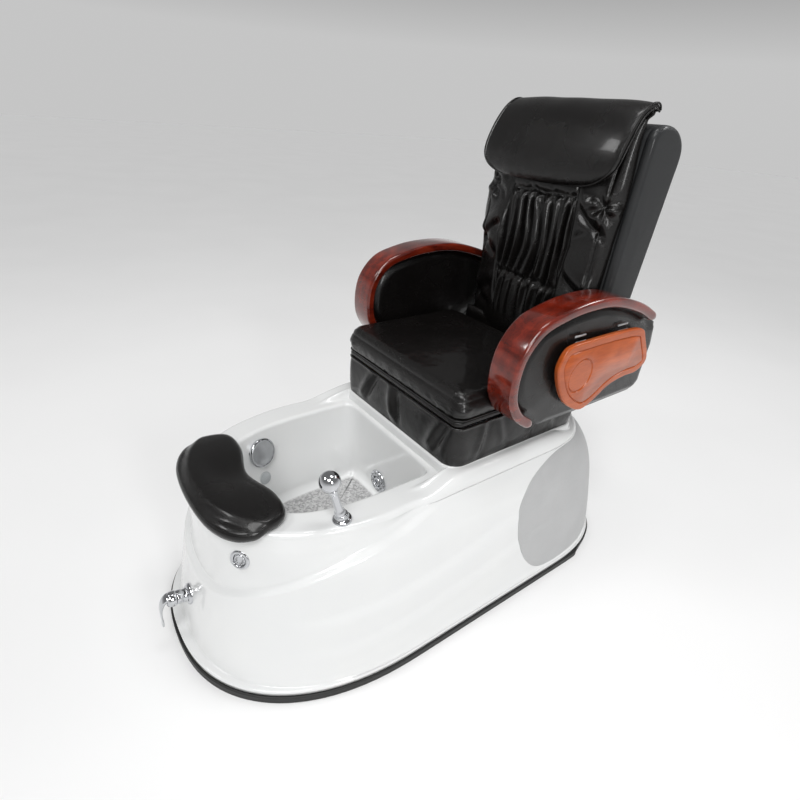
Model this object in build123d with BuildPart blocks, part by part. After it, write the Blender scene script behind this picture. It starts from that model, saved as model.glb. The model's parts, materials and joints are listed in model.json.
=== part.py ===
"""Pedicure spa chair: a boat-shaped foot basin base with a sliding, reclining massage seat.

Millimetres. +X is the sitter's left, -Y is the front (the basin end), +Z is up. The origin lies on the
floor under the middle of the whole chair.
"""

import os
from math import atan, cos, degrees, pi, radians, sin, tan

from build123d import *

os.makedirs("parts", exist_ok=True)

# ---------------------------------------------------------------- driving dimensions
SIDES = {"left": 1, "right": -1}
RUN = 0.05  # radial clearance of a running fit
GAP = 0.5  # gap between neighbours that do not touch

# Hull: a plan outline with a long nose, straight flanks and a shorter tail, repeated at several heights.
DATUM_Y = 86.0  # line from which the nose and tail reaches are measured
NOSE_SHARE, NOSE_POWER = 0.654, 2.365
TAIL_SHARE, TAIL_POWER = 0.593, 2.595
FOOTPRINT = (391.0, -709.0, 739.0)  # half width, front, rear
FLANGE = (386.0, -703.0, 735.0)
TRIM_HEIGHT = 20.0
TRIM_WIDE = 20.0
FLANGE_TOP = 34.0
DECK_Z = 445.0
WALL = 6.0
STATIONS = [  # height, half width, front, rear
    (TRIM_HEIGHT, 382.0, -683.0, 731.0),
    (120.0, 370.0, -666.0, 716.0),
    (200.0, 362.0, -652.0, 696.0),
    (280.0, 353.0, -638.0, 674.0),
    (350.0, 343.0, -628.0, 642.0),
    (400.0, 322.0, -622.0, 612.0),
    (DECK_Z - WALL, 298.0, -608.0, 569.0),
]
PANEL_THICK = 1.5

# Fittings that pass through the hull
MIXER_AT, MIXER_TILT, MIXER_STUB_R, ROSETTE_R = (0.0, -662.0, 145.0), 10.0, 14.0, 27.0
BUTTON_AT, BUTTON_TURN, BEZEL_R, BUTTON_BODY_R = (176.0, -582.0, 372.0), 40.0, 24.0, 18.0
GLAND_R, GLAND_Z, GLAND_SEAT = 9.0, 90.0, 725.0

# Basin
BASIN_Y, BASIN_WIDE, BASIN_LONG, BASIN_CORNER = -280.0, 406.0, 428.0, 60.0
FLOOR_Y, FLOOR_WIDE, FLOOR_LONG, FLOOR_CORNER = -258.0, 316.0, 384.0, 45.0
JET_X, JET_Z, JET_R = -25.0, 252.0, 22.0
JET_WALL_Y = -66.0
FLOOR_Z = 202.0
DRAIN_R = 24.0

# Seat
UPSTAND, UPSTAND_WIDE = 28.0, 10.5  # moulded kerb round the plinth, under the apron
PLINTH_X, PLINTH_FRONT, PLINTH_REAR, PLINTH_TOP = 257.0, -45.0, 461.0, 565.0
FRONT_CORNER, REAR_CORNER = 40.0, 60.0  # corner radii of the plinth in plan; the rear ones follow the hull's tail
BOARD = 15.0
APRON_THICK, APRON_TOP = 4.5, 585.0
SEAT_BOTTOM, SEAT_TOP, CUSHION_TOP = 591.0, 608.0, 688.0
SEAT_X, SEAT_FRONT, SEAT_REAR = 257.0, -46.0, 372.0
RAIL_X, RAIL_WIDE, RAIL_WALL = 238.0, 30.0, 3.0

# Recline
PIVOT_Y, PIVOT_Z, PIVOT_R = 415.0, 620.0, 8.0
LEVER_DROP = 60.0  # height of the actuator rod below the pivot
LEVER_ANGLE = 15.0  # lever leans this far to the rear at rest, and as far forward when reclined
ROD_R = 8.0
LINK_PIN_R = 5.0

# Arms
ARM_INNER, ARM_OUTER, BAND_THICK = 262.0, 346.0, 26.0
PANEL_INNER, PANEL_OUTER = 270.0, 337.0
TRAY_HINGE_X, TRAY_HINGE_Z, TRAY_HINGE_R = 344.0, 822.0, 2.5
TRAY_INNER, TRAY_OUTER = 349.0, 363.0
HINGE_SPANS = [(217.0, 259.0), (396.0, 439.0)]  # front and rear end of each tray hinge, along Y

# Backrest: its front edge leans back by BACK_SLOPE
BACK_X, BACK_WALL, BACK_SLOPE = 250.0, 8.0, 0.04
BACK_BOTTOM, BACK_TOP, BACK_FRONT = 655.0, 1283.0, 458.0
COVER_X = 222.0
SCREW_R, GUIDE_R, GUIDE_X = 8.0, 8.0, 150.0
GUIDE_Y, GUIDE_LOW, GUIDE_LONG = 552.0, 700.0, 490.0
ROLLER_R, ROLLER_WIDE = 28.0, 26.0


def save(built, name):
    """Labels a finished sub-part and writes it to its own STEP file."""
    built.part.label = name
    export_step(built.part, f"parts/{name}.step")


def power_end(half_width, length, power, way):
    """Points of a superellipse end cap from +X to -X; way is -1 for the nose and 1 for the tail."""
    count = 12
    points = []
    for step in range(count + 1):
        turn = pi * step / count
        across = abs(cos(turn)) ** (2 / power) * (1 if cos(turn) >= 0 else -1)
        along = max(sin(turn), 0.0) ** (2 / power)
        points.append((half_width * across, way * length * along))
    return points


def hull_face(half_width, front, rear, height=0.0):
    """Plan section of the hull at a height."""
    nose = NOSE_SHARE * (DATUM_Y - front)
    tail = TAIL_SHARE * (rear - DATUM_Y)
    fore = [(x, y + front + nose) for x, y in power_end(half_width, nose, NOSE_POWER, -1)]
    aft = [(x, y + rear - tail) for x, y in power_end(half_width, tail, TAIL_POWER, 1)]
    with BuildSketch(Plane.XY.offset(height), mode=Mode.PRIVATE) as section:
        with BuildLine():
            Spline(*fore, tangents=[(0, -1), (0, 1)])
            Line(fore[-1], aft[-1])
            Spline(*reversed(aft), tangents=[(0, 1), (0, -1)])
            Line(aft[0], fore[0])
        make_face()
    return section.sketch


def hull_sections(grow, low, high):
    """The hull's sections, grown by grow, with the first and last at heights low and high."""
    heights = [low, *(station[0] for station in STATIONS[1:-1]), high]
    return [
        hull_face(half_width + grow, front - grow, rear + grow, at)
        for at, (_, half_width, front, rear) in zip(heights, STATIONS)
    ]


def back_y(z):
    """Y of the backrest shell's front edge at height z."""
    return BACK_FRONT + BACK_SLOPE * (z - BACK_BOTTOM)


mixer_plane = Plane(
    origin=MIXER_AT,
    x_dir=(1, 0, 0),
    z_dir=(0, -cos(radians(MIXER_TILT)), sin(radians(MIXER_TILT))),
)
button_plane = Plane(
    origin=BUTTON_AT,
    x_dir=(cos(radians(BUTTON_TURN)), sin(radians(BUTTON_TURN)), 0),
    z_dir=(sin(radians(BUTTON_TURN)), -cos(radians(BUTTON_TURN)), 0.22),
)

# ---------------------------------------------------------------- hull
with BuildPart() as hull_solid:  # the hull's outer form, filled in
    loft(hull_sections(0, TRIM_HEIGHT, DECK_Z - WALL))

with BuildPart() as hull_shell:
    add(hull_solid.part)
    extrude(hull_face(*FLANGE, TRIM_HEIGHT), amount=FLANGE_TOP - TRIM_HEIGHT)
    loft(hull_sections(-WALL, TRIM_HEIGHT - 1, DECK_Z - WALL + 1), mode=Mode.SUBTRACT)
    with BuildSketch(mixer_plane):
        Circle(ROSETTE_R + GAP)
    extrude(amount=30, mode=Mode.SUBTRACT)
    with BuildSketch(mixer_plane):
        Circle(MIXER_STUB_R)
    extrude(amount=30, both=True, mode=Mode.SUBTRACT)
    with BuildSketch(button_plane):
        Circle(BEZEL_R + GAP)
    extrude(amount=40, mode=Mode.SUBTRACT)
    with BuildSketch(button_plane):
        Circle(BUTTON_BODY_R)
    extrude(amount=40, both=True, mode=Mode.SUBTRACT)
    with BuildSketch(Plane.XZ.offset(-690)):
        with Locations((0, GLAND_Z)):
            Circle(GLAND_R)
    extrude(amount=-60, mode=Mode.SUBTRACT)
    with BuildSketch(Plane.XZ.offset(-GLAND_SEAT)):
        with Locations((0, GLAND_Z)):
            Circle(16)
    extrude(amount=-60, mode=Mode.SUBTRACT)
save(hull_shell, "hull_shell")

with BuildPart() as base_trim:
    extrude(hull_face(*FOOTPRINT), amount=TRIM_HEIGHT)
    fillet(base_trim.edges().group_by(Axis.Z)[-1], 3)
    inside = (FOOTPRINT[0] - TRIM_WIDE, FOOTPRINT[1] + TRIM_WIDE, FOOTPRINT[2] - TRIM_WIDE)
    extrude(hull_face(*inside), amount=TRIM_HEIGHT, mode=Mode.SUBTRACT)
save(base_trim, "base_trim")


def plinth_plan(grow):
    """Plan of the plinth grown outwards."""
    with BuildSketch(mode=Mode.PRIVATE) as plan:
        Rectangle(2 * (PLINTH_X + grow), PLINTH_REAR - PLINTH_FRONT + 2 * grow)
        fillet(plan.vertices().group_by(Axis.Y)[-1], REAR_CORNER + grow)
        fillet(plan.vertices().group_by(Axis.Y)[0], FRONT_CORNER + grow)
    return plan.sketch


with BuildPart() as basin_deck:
    extrude(hull_face(*STATIONS[-1][1:], DECK_Z - WALL), amount=WALL)
    fillet(basin_deck.edges().group_by(Axis.Z)[-1], WALL - 1)
    with BuildSketch(Plane.XY.offset(DECK_Z - 1)):
        with Locations((0, BASIN_Y)):
            RectangleRounded(BASIN_WIDE + 2 * WALL, BASIN_LONG + 2 * WALL, BASIN_CORNER + WALL)
    with BuildSketch(Plane.XY.offset(FLOOR_Z - WALL)):
        with Locations((0, FLOOR_Y)):
            RectangleRounded(FLOOR_WIDE + 2 * WALL, FLOOR_LONG + 2 * WALL, FLOOR_CORNER + WALL)
    loft()
    with BuildSketch(Plane.XY.offset(DECK_Z)):
        with Locations((0, BASIN_Y)):
            RectangleRounded(BASIN_WIDE, BASIN_LONG, BASIN_CORNER)
    with BuildSketch(Plane.XY.offset(FLOOR_Z)):
        with Locations((0, FLOOR_Y)):
            RectangleRounded(FLOOR_WIDE, FLOOR_LONG, FLOOR_CORNER)
    loft(mode=Mode.SUBTRACT)
    with Locations((0, FLOOR_Y, FLOOR_Z)):
        Hole(DRAIN_R, 2 * WALL)
    with BuildSketch(Plane.XZ.offset(-JET_WALL_Y)):
        with Locations((JET_X, JET_Z)):
            Circle(JET_R)
    extrude(amount=2 * WALL, both=True, mode=Mode.SUBTRACT)
    with BuildSketch(Plane.XY.offset(DECK_Z)):
        with Locations((0, (PLINTH_FRONT + PLINTH_REAR) / 2)):
            add(plinth_plan(UPSTAND_WIDE))
            add(plinth_plan(0), mode=Mode.SUBTRACT)
    extrude(amount=UPSTAND)
save(basin_deck, "basin_deck")

# Grey panels let into both flanks at the tail: a round front edge that trails off to the rear.
with BuildPart() as hull_skin:
    loft(hull_sections(PANEL_THICK, TRIM_HEIGHT, DECK_Z - WALL))
    add(hull_solid.part, mode=Mode.SUBTRACT)

for side, way in SIDES.items():
    with BuildPart() as side_panel:
        with BuildSketch(Plane.YZ.offset(way * 150)):
            with BuildLine():
                Spline(
                    (560, 424),
                    (440, 434),
                    (313, 428),
                    (188, 374),
                    (149, 284),
                    (185, 150),
                    (272, 52),
                    (420, 42),
                    (570, 70),
                    (640, 200),
                    (630, 330),
                    periodic=True,
                )
            make_face()
        extrude(amount=way * 260)
        add(hull_skin.part, mode=Mode.INTERSECT)
    save(side_panel, f"side_panel_{side}")

# ---------------------------------------------------------------- steel base frame and feet
TUBE = 40.0
FRAME_X, FRAME_LOW = 210.0, 40.0
FRAME_ENDS = (-440.0, 520.0)
FOOT_R = 24.0

with BuildPart() as base_rails:
    for way in SIDES.values():
        with BuildSketch(Plane.XZ.offset(-FRAME_ENDS[0])):
            with Locations((way * FRAME_X, FRAME_LOW + TUBE / 2)):
                RectangleRounded(TUBE, TUBE, 4)
                RectangleRounded(TUBE - 5, TUBE - 5, 2, mode=Mode.SUBTRACT)
        extrude(amount=FRAME_ENDS[0] - FRAME_ENDS[1])
save(base_rails, "base_rails")

with BuildPart() as cross_members:
    for y in (-420.0, 20.0, 480.0):
        with BuildSketch(Plane.YZ.offset(-FRAME_X + TUBE / 2)):
            with Locations((y, FRAME_LOW + TUBE / 2)):
                RectangleRounded(TUBE, TUBE, 4)
                RectangleRounded(TUBE - 5, TUBE - 5, 2, mode=Mode.SUBTRACT)
        extrude(amount=2 * FRAME_X - TUBE)
save(cross_members, "cross_members")

with BuildPart() as seat_posts:
    with BuildSketch(Plane.XY.offset(FRAME_LOW + TUBE)):
        with GridLocations(2 * FRAME_X, 400, 2, 2):
            with Locations((0, 230)):
                Rectangle(TUBE, TUBE)
                Rectangle(TUBE - 5, TUBE - 5, mode=Mode.SUBTRACT)
    extrude(amount=DECK_Z - WALL - FRAME_LOW - TUBE)
save(seat_posts, "seat_posts")

with BuildPart() as levelling_feet:
    with BuildSketch():
        with Locations((0, 40)):
            with GridLocations(2 * FRAME_X, 860, 2, 2):
                Circle(FOOT_R)
    extrude(amount=12)
    with BuildSketch(Plane.XY.offset(12)):
        with Locations((0, 40)):
            with GridLocations(2 * FRAME_X, 860, 2, 2):
                Circle(6)
    extrude(amount=FRAME_LOW - 12)
save(levelling_feet, "levelling_feet")

# ---------------------------------------------------------------- water and power equipment inside the hull
PUMP_X, PUMP_Y, PUMP_Z = 80.0, 150.0, 150.0

with BuildPart() as jet_pump:
    with BuildSketch(Plane.XZ.offset(-PUMP_Y)):
        with Locations((PUMP_X, PUMP_Z)):
            Circle(52)
    extrude(amount=-150)
    with BuildSketch(Plane.XZ.offset(-PUMP_Y)):
        with Locations((PUMP_X, PUMP_Z)):
            Circle(66)
    extrude(amount=52)
    with BuildSketch(Plane.XY.offset(FRAME_LOW + TUBE)):
        with Locations((PUMP_X, PUMP_Y + 60)):
            Rectangle(110, 120)
    extrude(amount=24)
    fillet(jet_pump.edges().filter_by(GeomType.CIRCLE).group_by(Axis.Y)[-1], 8)
save(jet_pump, "jet_pump")

PIPE_R, PIPE_WALL = 16.0, 3.0

# The suction pipe drops from the rear wall of the basin's floor line into the pump's volute.
with BuildPart() as pump_pipe:
    with BuildLine() as pump_route:
        FilletPolyline(
            (JET_X, JET_WALL_Y + 62, JET_Z),
            (JET_X, JET_WALL_Y + 106, JET_Z),
            (PUMP_X, JET_WALL_Y + 106, JET_Z - 40),
            (PUMP_X, JET_WALL_Y + 106, PUMP_Z),
            (PUMP_X, PUMP_Y - 52, PUMP_Z),
            radius=20,
        )
    with BuildSketch(Plane(origin=pump_route.line @ 0, z_dir=pump_route.line % 0)):
        Circle(PIPE_R)
        Circle(PIPE_R - PIPE_WALL, mode=Mode.SUBTRACT)
    sweep()
save(pump_pipe, "pump_pipe")

with BuildPart() as drain_strainer:
    with BuildSketch(Plane.XY.offset(FLOOR_Z - 40)):
        with Locations((0, FLOOR_Y)):
            Circle(DRAIN_R - RUN)
    extrude(amount=40)
    with BuildSketch(Plane.XY.offset(FLOOR_Z)):
        with Locations((0, FLOOR_Y)):
            Circle(38)
    extrude(amount=3)
    with Locations((0, FLOOR_Y, FLOOR_Z + 3)):
        Hole(19, 60)
save(drain_strainer, "drain_strainer")

# Waste: a trap bend under the strainer, then a spigot that points at the floor.
WASTE_R, WASTE_Y = 20.0, -120.0
with BuildPart() as drain_pipe:
    with BuildLine() as waste_route:
        FilletPolyline(
            (0, FLOOR_Y, FLOOR_Z - 40),
            (0, FLOOR_Y, 120),
            (0, WASTE_Y, 110),
            (0, WASTE_Y, 22),
            radius=30,
        )
    with BuildSketch(Plane(origin=waste_route.line @ 0, z_dir=waste_route.line % 0)):
        Circle(WASTE_R)
        Circle(WASTE_R - PIPE_WALL, mode=Mode.SUBTRACT)
    sweep()
save(drain_pipe, "drain_pipe")

SUPPLY_R, SUPPLY_X, SUPPLY_LOW = 9.0, 30.0, 22.0
VALVE_Y, VALVE_Z, VALVE_DEEP, VALVE_TALL = -570.0, 129.0, 30.0, 34.0
with BuildPart() as supply_pipes:
    with BuildSketch(Plane.XY.offset(SUPPLY_LOW)):
        for way in SIDES.values():
            with Locations((way * SUPPLY_X, VALVE_Y)):
                Circle(SUPPLY_R)
                Circle(SUPPLY_R - 2, mode=Mode.SUBTRACT)
    extrude(amount=VALVE_Z - VALVE_TALL / 2 - SUPPLY_LOW)
save(supply_pipes, "supply_pipes")

with BuildPart() as control_box:
    with BuildSketch(Plane.XY.offset(FRAME_LOW + TUBE)):
        with Locations((90, 425)):
            RectangleRounded(180, 130, 8)
    extrude(amount=90)
    fillet(control_box.edges().group_by(Axis.Z)[-1], 4)
save(control_box, "control_box")

# Cable gland of the mains lead, in the hull's tail just above the flange.
with BuildPart() as power_inlet:
    with BuildSketch(Plane.XZ.offset(-698)):
        with Locations((0, GLAND_Z)):
            Circle(GLAND_R)
    extrude(amount=-38)
    with BuildSketch(Plane.XZ.offset(-GLAND_SEAT)):
        with Locations((0, GLAND_Z)):
            RegularPolygon(15, 6)
    extrude(amount=-6)
    with BuildSketch(Plane.XZ.offset(-690)):
        with Locations((0, GLAND_Z)):
            Circle(GLAND_R / 2)
    extrude(amount=-60, mode=Mode.SUBTRACT)
save(power_inlet, "power_inlet")

# ---------------------------------------------------------------- fittings in the basin
WALL_LEAN = degrees(atan((BASIN_WIDE - FLOOR_WIDE) / 2 / (DECK_Z - FLOOR_Z)))


def side_wall_plane(y, z):
    """Plane on the basin's right wall at y, z, facing into the basin."""
    x = -FLOOR_WIDE / 2 - (z - FLOOR_Z) * tan(radians(WALL_LEAN))
    return Plane(origin=(x, y, z), x_dir=(0, 1, 0), z_dir=(cos(radians(WALL_LEAN)), 0, sin(radians(WALL_LEAN))))


with BuildPart() as overflow_cover:
    with BuildSketch(side_wall_plane(-378, 369)):
        Circle(43)
    extrude(amount=13)
    fillet(overflow_cover.edges().filter_by(GeomType.CIRCLE).sort_by(Axis.X)[-1], 6)
save(overflow_cover, "overflow_cover")

with BuildPart() as basin_light:
    with BuildSketch(side_wall_plane(-375, 288)):
        Circle(18)
    extrude(amount=4)
save(basin_light, "basin_light")

with BuildPart() as jet_body:
    with BuildSketch(Plane.XZ.offset(-JET_WALL_Y)):
        with Locations((JET_X, JET_Z)):
            Circle(37)
    extrude(amount=9)
    with BuildSketch(Plane.XZ.offset(-JET_WALL_Y)):
        with Locations((JET_X, JET_Z)):
            Circle(JET_R)
    extrude(amount=-62)
    with BuildSketch(Plane.XZ.offset(-JET_WALL_Y + 9)):
        with Locations((JET_X, JET_Z)):
            Circle(15 + RUN)
    extrude(amount=-71, mode=Mode.SUBTRACT)
save(jet_body, "jet_body")

with BuildPart() as jet_nozzle:
    with BuildSketch(Plane.XZ.offset(-JET_WALL_Y + 11)):
        with Locations((JET_X, JET_Z)):
            Circle(15)
            with PolarLocations(8, 3):
                Circle(3, mode=Mode.SUBTRACT)
    extrude(amount=-28)
save(jet_nozzle, "jet_nozzle")

with BuildPart() as drain_plug:
    with BuildSketch(Plane.XY.offset(FLOOR_Z + 3.3)):
        with Locations((0, FLOOR_Y)):
            Circle(25)
    extrude(amount=5)
    fillet(drain_plug.edges().group_by(Axis.Z)[-1], 3)
    with BuildSketch(Plane.XY.offset(FLOOR_Z + 3.3)):
        with Locations((0, FLOOR_Y)):
            Circle(4)
    extrude(amount=-34)
save(drain_plug, "drain_plug")

# ---------------------------------------------------------------- fittings on the deck and hull
SHOWER_X, SHOWER_Y, SHOWER_LEAN = 247.0, -361.0, 15.0
shower_plane = Plane(
    origin=(SHOWER_X, SHOWER_Y, DECK_Z),
    x_dir=(1, 0, 0),
    z_dir=(0, -sin(radians(SHOWER_LEAN)), cos(radians(SHOWER_LEAN))),
)

with BuildPart() as shower_socket:
    with BuildSketch(Plane.XY.offset(DECK_Z)):
        with Locations((SHOWER_X, SHOWER_Y)):
            Circle(24)
    extrude(amount=5)
    with BuildSketch(shower_plane.offset(5)):
        Circle(16)
    extrude(amount=21)
    with BuildSketch(shower_plane.offset(8)):
        Circle(10 + RUN)
    extrude(amount=30, mode=Mode.SUBTRACT)
save(shower_socket, "shower_socket")

with BuildPart() as hand_shower:
    with BuildSketch(shower_plane.offset(9)):
        Circle(10)
    extrude(amount=98)
    with BuildSketch(shower_plane.offset(27)):
        Circle(13)
    extrude(amount=8)
    with Locations(shower_plane.offset(126)):
        Sphere(24)
save(hand_shower, "hand_shower")

# The mixer is a single-lever cartridge body on the middle of the nose, fed from a valve block behind it.
MIXER_REACH = 38.0
with BuildPart() as mixer_body:
    with BuildSketch(mixer_plane):
        Circle(ROSETTE_R)
    extrude(amount=9)
    with BuildSketch(mixer_plane):
        Circle(19)
    extrude(amount=MIXER_REACH)
    with BuildSketch(mixer_plane.offset(-80)):
        Circle(MIXER_STUB_R)
    extrude(amount=80)
    with Locations((0, VALVE_Y, VALVE_Z)):
        Box(84, VALVE_DEEP, VALVE_TALL)
save(mixer_body, "mixer_body")

# The lever's cap turns on the front of the mixer body; its paddle hangs down and forward.
LEVER_TIP_Y, LEVER_TIP_Z = -734.0, 74.0
with BuildPart() as mixer_lever:
    with BuildSketch(mixer_plane.offset(MIXER_REACH + 0.3)):
        Circle(19.5)
    extrude(amount=16)
    fillet(mixer_lever.edges().filter_by(GeomType.CIRCLE).sort_by(Axis.Y)[0], 5)
    with BuildSketch(Plane.YZ.offset(-8)):
        with BuildLine():
            Polyline(
                (-704, 148),
                (-716, 146),
                (LEVER_TIP_Y - 5, LEVER_TIP_Z),
                (LEVER_TIP_Y + 3, LEVER_TIP_Z - 2),
                (-706, 132),
                close=True,
            )
        make_face()
    extrude(amount=16)
save(mixer_lever, "mixer_lever")

# Air button of the whirlpool pump, on the left of the nose.
with BuildPart() as button_bezel:
    with BuildSketch(button_plane):
        Circle(BEZEL_R)
    extrude(amount=7)
    fillet(button_bezel.edges().filter_by(GeomType.CIRCLE).sort_by(Axis.Y)[0], 3)
    with BuildSketch(button_plane.offset(-30)):
        Circle(BUTTON_BODY_R)
    extrude(amount=30)
    with BuildSketch(button_plane.offset(-20)):
        Circle(14 + 2 * RUN)
    extrude(amount=40, mode=Mode.SUBTRACT)
save(button_bezel, "button_bezel")

with BuildPart() as air_button:
    with BuildSketch(button_plane.offset(-14)):
        Circle(14)
    extrude(amount=24)
    fillet(air_button.edges().filter_by(GeomType.CIRCLE).sort_by(Axis.Y)[0], 2.5)
save(air_button, "air_button")

# ---------------------------------------------------------------- footrest on the nose of the deck
REST_Y, REST_Z, REST_PIN_R = -598.0, 458.0, 4.0
REST_X, PAD_LOW, PAD_HIGH = 207.0, 455.0, 503.0

with BuildPart() as footrest_bracket:
    with BuildSketch(Plane.XY.offset(DECK_Z)):
        with Locations((0, REST_Y + 33)):
            Rectangle(130, 66)
    extrude(amount=3)
    for way in SIDES.values():
        with BuildSketch(Plane.YZ.offset(way * 55)):
            with Locations((REST_Y + 1, (REST_Z + DECK_Z + 3) / 2)):
                Rectangle(12, REST_Z - DECK_Z - 3)
            with Locations((REST_Y, REST_Z)):
                Circle(7)
        extrude(amount=way * 6)
    with BuildSketch(Plane.YZ.offset(-65)):
        with Locations((REST_Y, REST_Z)):
            Circle(REST_PIN_R)
    extrude(amount=130)
save(footrest_bracket, "footrest_bracket")

with BuildPart() as footrest_plate:
    with BuildSketch(Plane.YZ.offset(-54)):
        with Locations((REST_Y, REST_Z)):
            Circle(REST_PIN_R + 4)
        with Locations((REST_Y + 4, REST_Z + 8)):
            Rectangle(8, 6)
    extrude(amount=108)
    with BuildSketch(Plane.XY.offset(REST_Z + 8)):
        with Locations((0, REST_Y + 42)):
            RectangleRounded(300, 90, 15)
    extrude(amount=4)
    with BuildSketch(Plane.YZ.offset(-60)):
        with Locations((REST_Y, REST_Z)):
            Circle(REST_PIN_R + RUN)
    extrude(amount=120, mode=Mode.SUBTRACT)
save(footrest_plate, "footrest_plate")

with BuildPart() as footrest_pad:
    with BuildSketch(Plane.XY.offset(PAD_LOW)):
        with BuildLine():
            Spline(
                (0, -634),
                (110, -618),
                (183, -586),
                (REST_X, -535),
                (185, -474),
                (110, -464),
                (0, -490),
                (-110, -464),
                (-185, -474),
                (-REST_X, -535),
                (-183, -586),
                (-110, -618),
                periodic=True,
            )
        make_face()
    extrude(amount=PAD_HIGH - PAD_LOW)
    fillet(footrest_pad.edges().group_by(Axis.Z)[-1], 14)
    with BuildSketch(Plane.XY.offset(PAD_LOW)):  # pocket for the plate, open below over the hinge
        with Locations((0, REST_Y + 38)):
            RectangleRounded(302, 100, 15)
    extrude(amount=REST_Z + 12 - PAD_LOW, mode=Mode.SUBTRACT)
save(footrest_pad, "footrest_pad")

# ---------------------------------------------------------------- seat plinth, apron and slide
PLINTH_MID = (PLINTH_REAR + PLINTH_FRONT) / 2
SIDE_BOARD_START, SIDE_BOARD_END = PLINTH_FRONT + FRONT_CORNER + 1, PLINTH_REAR - REAR_CORNER - 1
RAIL_START, RUNNER_Y, RUNNER_LONG = -20.0, 217.0, 300.0  # the runners stay on the rails through 80 mm of travel

with BuildPart() as plinth_boards:
    for way in SIDES.values():
        with Locations((way * (PLINTH_X - BOARD / 2), (SIDE_BOARD_START + SIDE_BOARD_END) / 2, (DECK_Z + PLINTH_TOP) / 2)):
            Box(BOARD, SIDE_BOARD_END - SIDE_BOARD_START, PLINTH_TOP - DECK_Z)
    for y, wide in (
        (PLINTH_FRONT + BOARD / 2, PLINTH_X - FRONT_CORNER - 1),
        (PLINTH_REAR - BOARD / 2, PLINTH_X - REAR_CORNER - 1),
    ):
        with Locations((0, y, (DECK_Z + PLINTH_TOP) / 2)):
            Box(2 * wide, BOARD, PLINTH_TOP - DECK_Z)
save(plinth_boards, "plinth_boards")

with BuildPart() as apron_cover:
    with BuildSketch(Plane.XY.offset(DECK_Z + UPSTAND)):
        with Locations((0, PLINTH_MID)):
            add(plinth_plan(APRON_THICK))
            add(plinth_plan(0), mode=Mode.SUBTRACT)
    extrude(amount=APRON_TOP - DECK_Z - UPSTAND)
save(apron_cover, "apron_cover")

with BuildPart() as slide_rails:
    for way in SIDES.values():
        with BuildSketch(Plane.XZ.offset(-RAIL_START)):
            with Locations((way * RAIL_X, PLINTH_TOP + 7)):
                Rectangle(RAIL_WIDE, 14)
            with Locations((way * RAIL_X, PLINTH_TOP + 7 + RAIL_WALL)):
                Rectangle(RAIL_WIDE - 2 * RAIL_WALL, 14, mode=Mode.SUBTRACT)
        extrude(amount=-(SIDE_BOARD_END - RAIL_START))
save(slide_rails, "slide_rails")

with BuildPart() as slide_runners:
    for way in SIDES.values():
        with Locations((way * RAIL_X, RUNNER_Y, (PLINTH_TOP + RAIL_WALL + 0.3 + SEAT_BOTTOM) / 2)):
            Box(RAIL_WIDE - 2 * RAIL_WALL - 0.6, RUNNER_LONG, SEAT_BOTTOM - PLINTH_TOP - RAIL_WALL - 0.3)
save(slide_runners, "slide_runners")

SEAT_MID, SEAT_LONG = (SEAT_FRONT + SEAT_REAR) / 2, SEAT_REAR - SEAT_FRONT
with BuildPart() as seat_board:
    with BuildSketch(Plane.XY.offset(SEAT_BOTTOM)):
        with Locations((0, SEAT_MID)):
            RectangleRounded(2 * SEAT_X, SEAT_LONG, 18)
    extrude(amount=SEAT_TOP - SEAT_BOTTOM)
    fillet(seat_board.edges().group_by(Axis.Z)[0], 5)
save(seat_board, "seat_board")

with BuildPart() as seat_cushion:
    with BuildSketch(Plane.XY.offset(SEAT_TOP + 0.2)):
        with Locations((0, SEAT_MID + 2)):
            RectangleRounded(2 * SEAT_X - 6, SEAT_LONG - 2, 22)
    extrude(amount=CUSHION_TOP - SEAT_TOP - 0.2)
    fillet(seat_cushion.edges().group_by(Axis.Z)[-1], 20)
save(seat_cushion, "seat_cushion")

# ---------------------------------------------------------------- recline hinge and actuator
with BuildPart() as back_brackets:
    for way in SIDES.values():
        with BuildSketch(Plane.YZ.offset(way * (SEAT_X + 0.2))):
            with BuildLine():
                Polyline((250, 594), (250, 606), (385, 640), (440, 640), (440, 600), (425, 594), close=True)
            make_face()
            with Locations((PIVOT_Y, PIVOT_Z)):
                Circle(PIVOT_R, mode=Mode.SUBTRACT)
        extrude(amount=way * 4)
save(back_brackets, "back_brackets")

with BuildPart() as pivot_pins:
    for way in SIDES.values():
        with BuildSketch(Plane.YZ.offset(way * 236)):
            with Locations((PIVOT_Y, PIVOT_Z)):
                Circle(PIVOT_R)
        extrude(amount=way * (SEAT_X + 4.2 - 236))
save(pivot_pins, "pivot_pins")

with BuildPart() as back_hinge_frame:
    for way in SIDES.values():
        with BuildSketch(Plane.YZ.offset(way * 234)):
            with BuildLine():
                Polyline(
                    (400, 605),
                    (430, 605),
                    (457, 640),
                    (457, 664),
                    (500, 664),
                    (500, 800),
                    (472, 800),
                    (464, 700),
                    (400, 650),
                    close=True,
                )
            make_face()
        extrude(amount=way * 8)
    with BuildSketch(Plane.YZ.offset(-234)):
        with Locations((PIVOT_Y, PIVOT_Z)):
            Circle(12)
    extrude(amount=468)
    with BuildSketch(Plane.YZ.offset(-250)):
        with Locations((PIVOT_Y, PIVOT_Z)):
            Circle(PIVOT_R + RUN)
    extrude(amount=500, mode=Mode.SUBTRACT)
save(back_hinge_frame, "back_hinge_frame")

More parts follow.
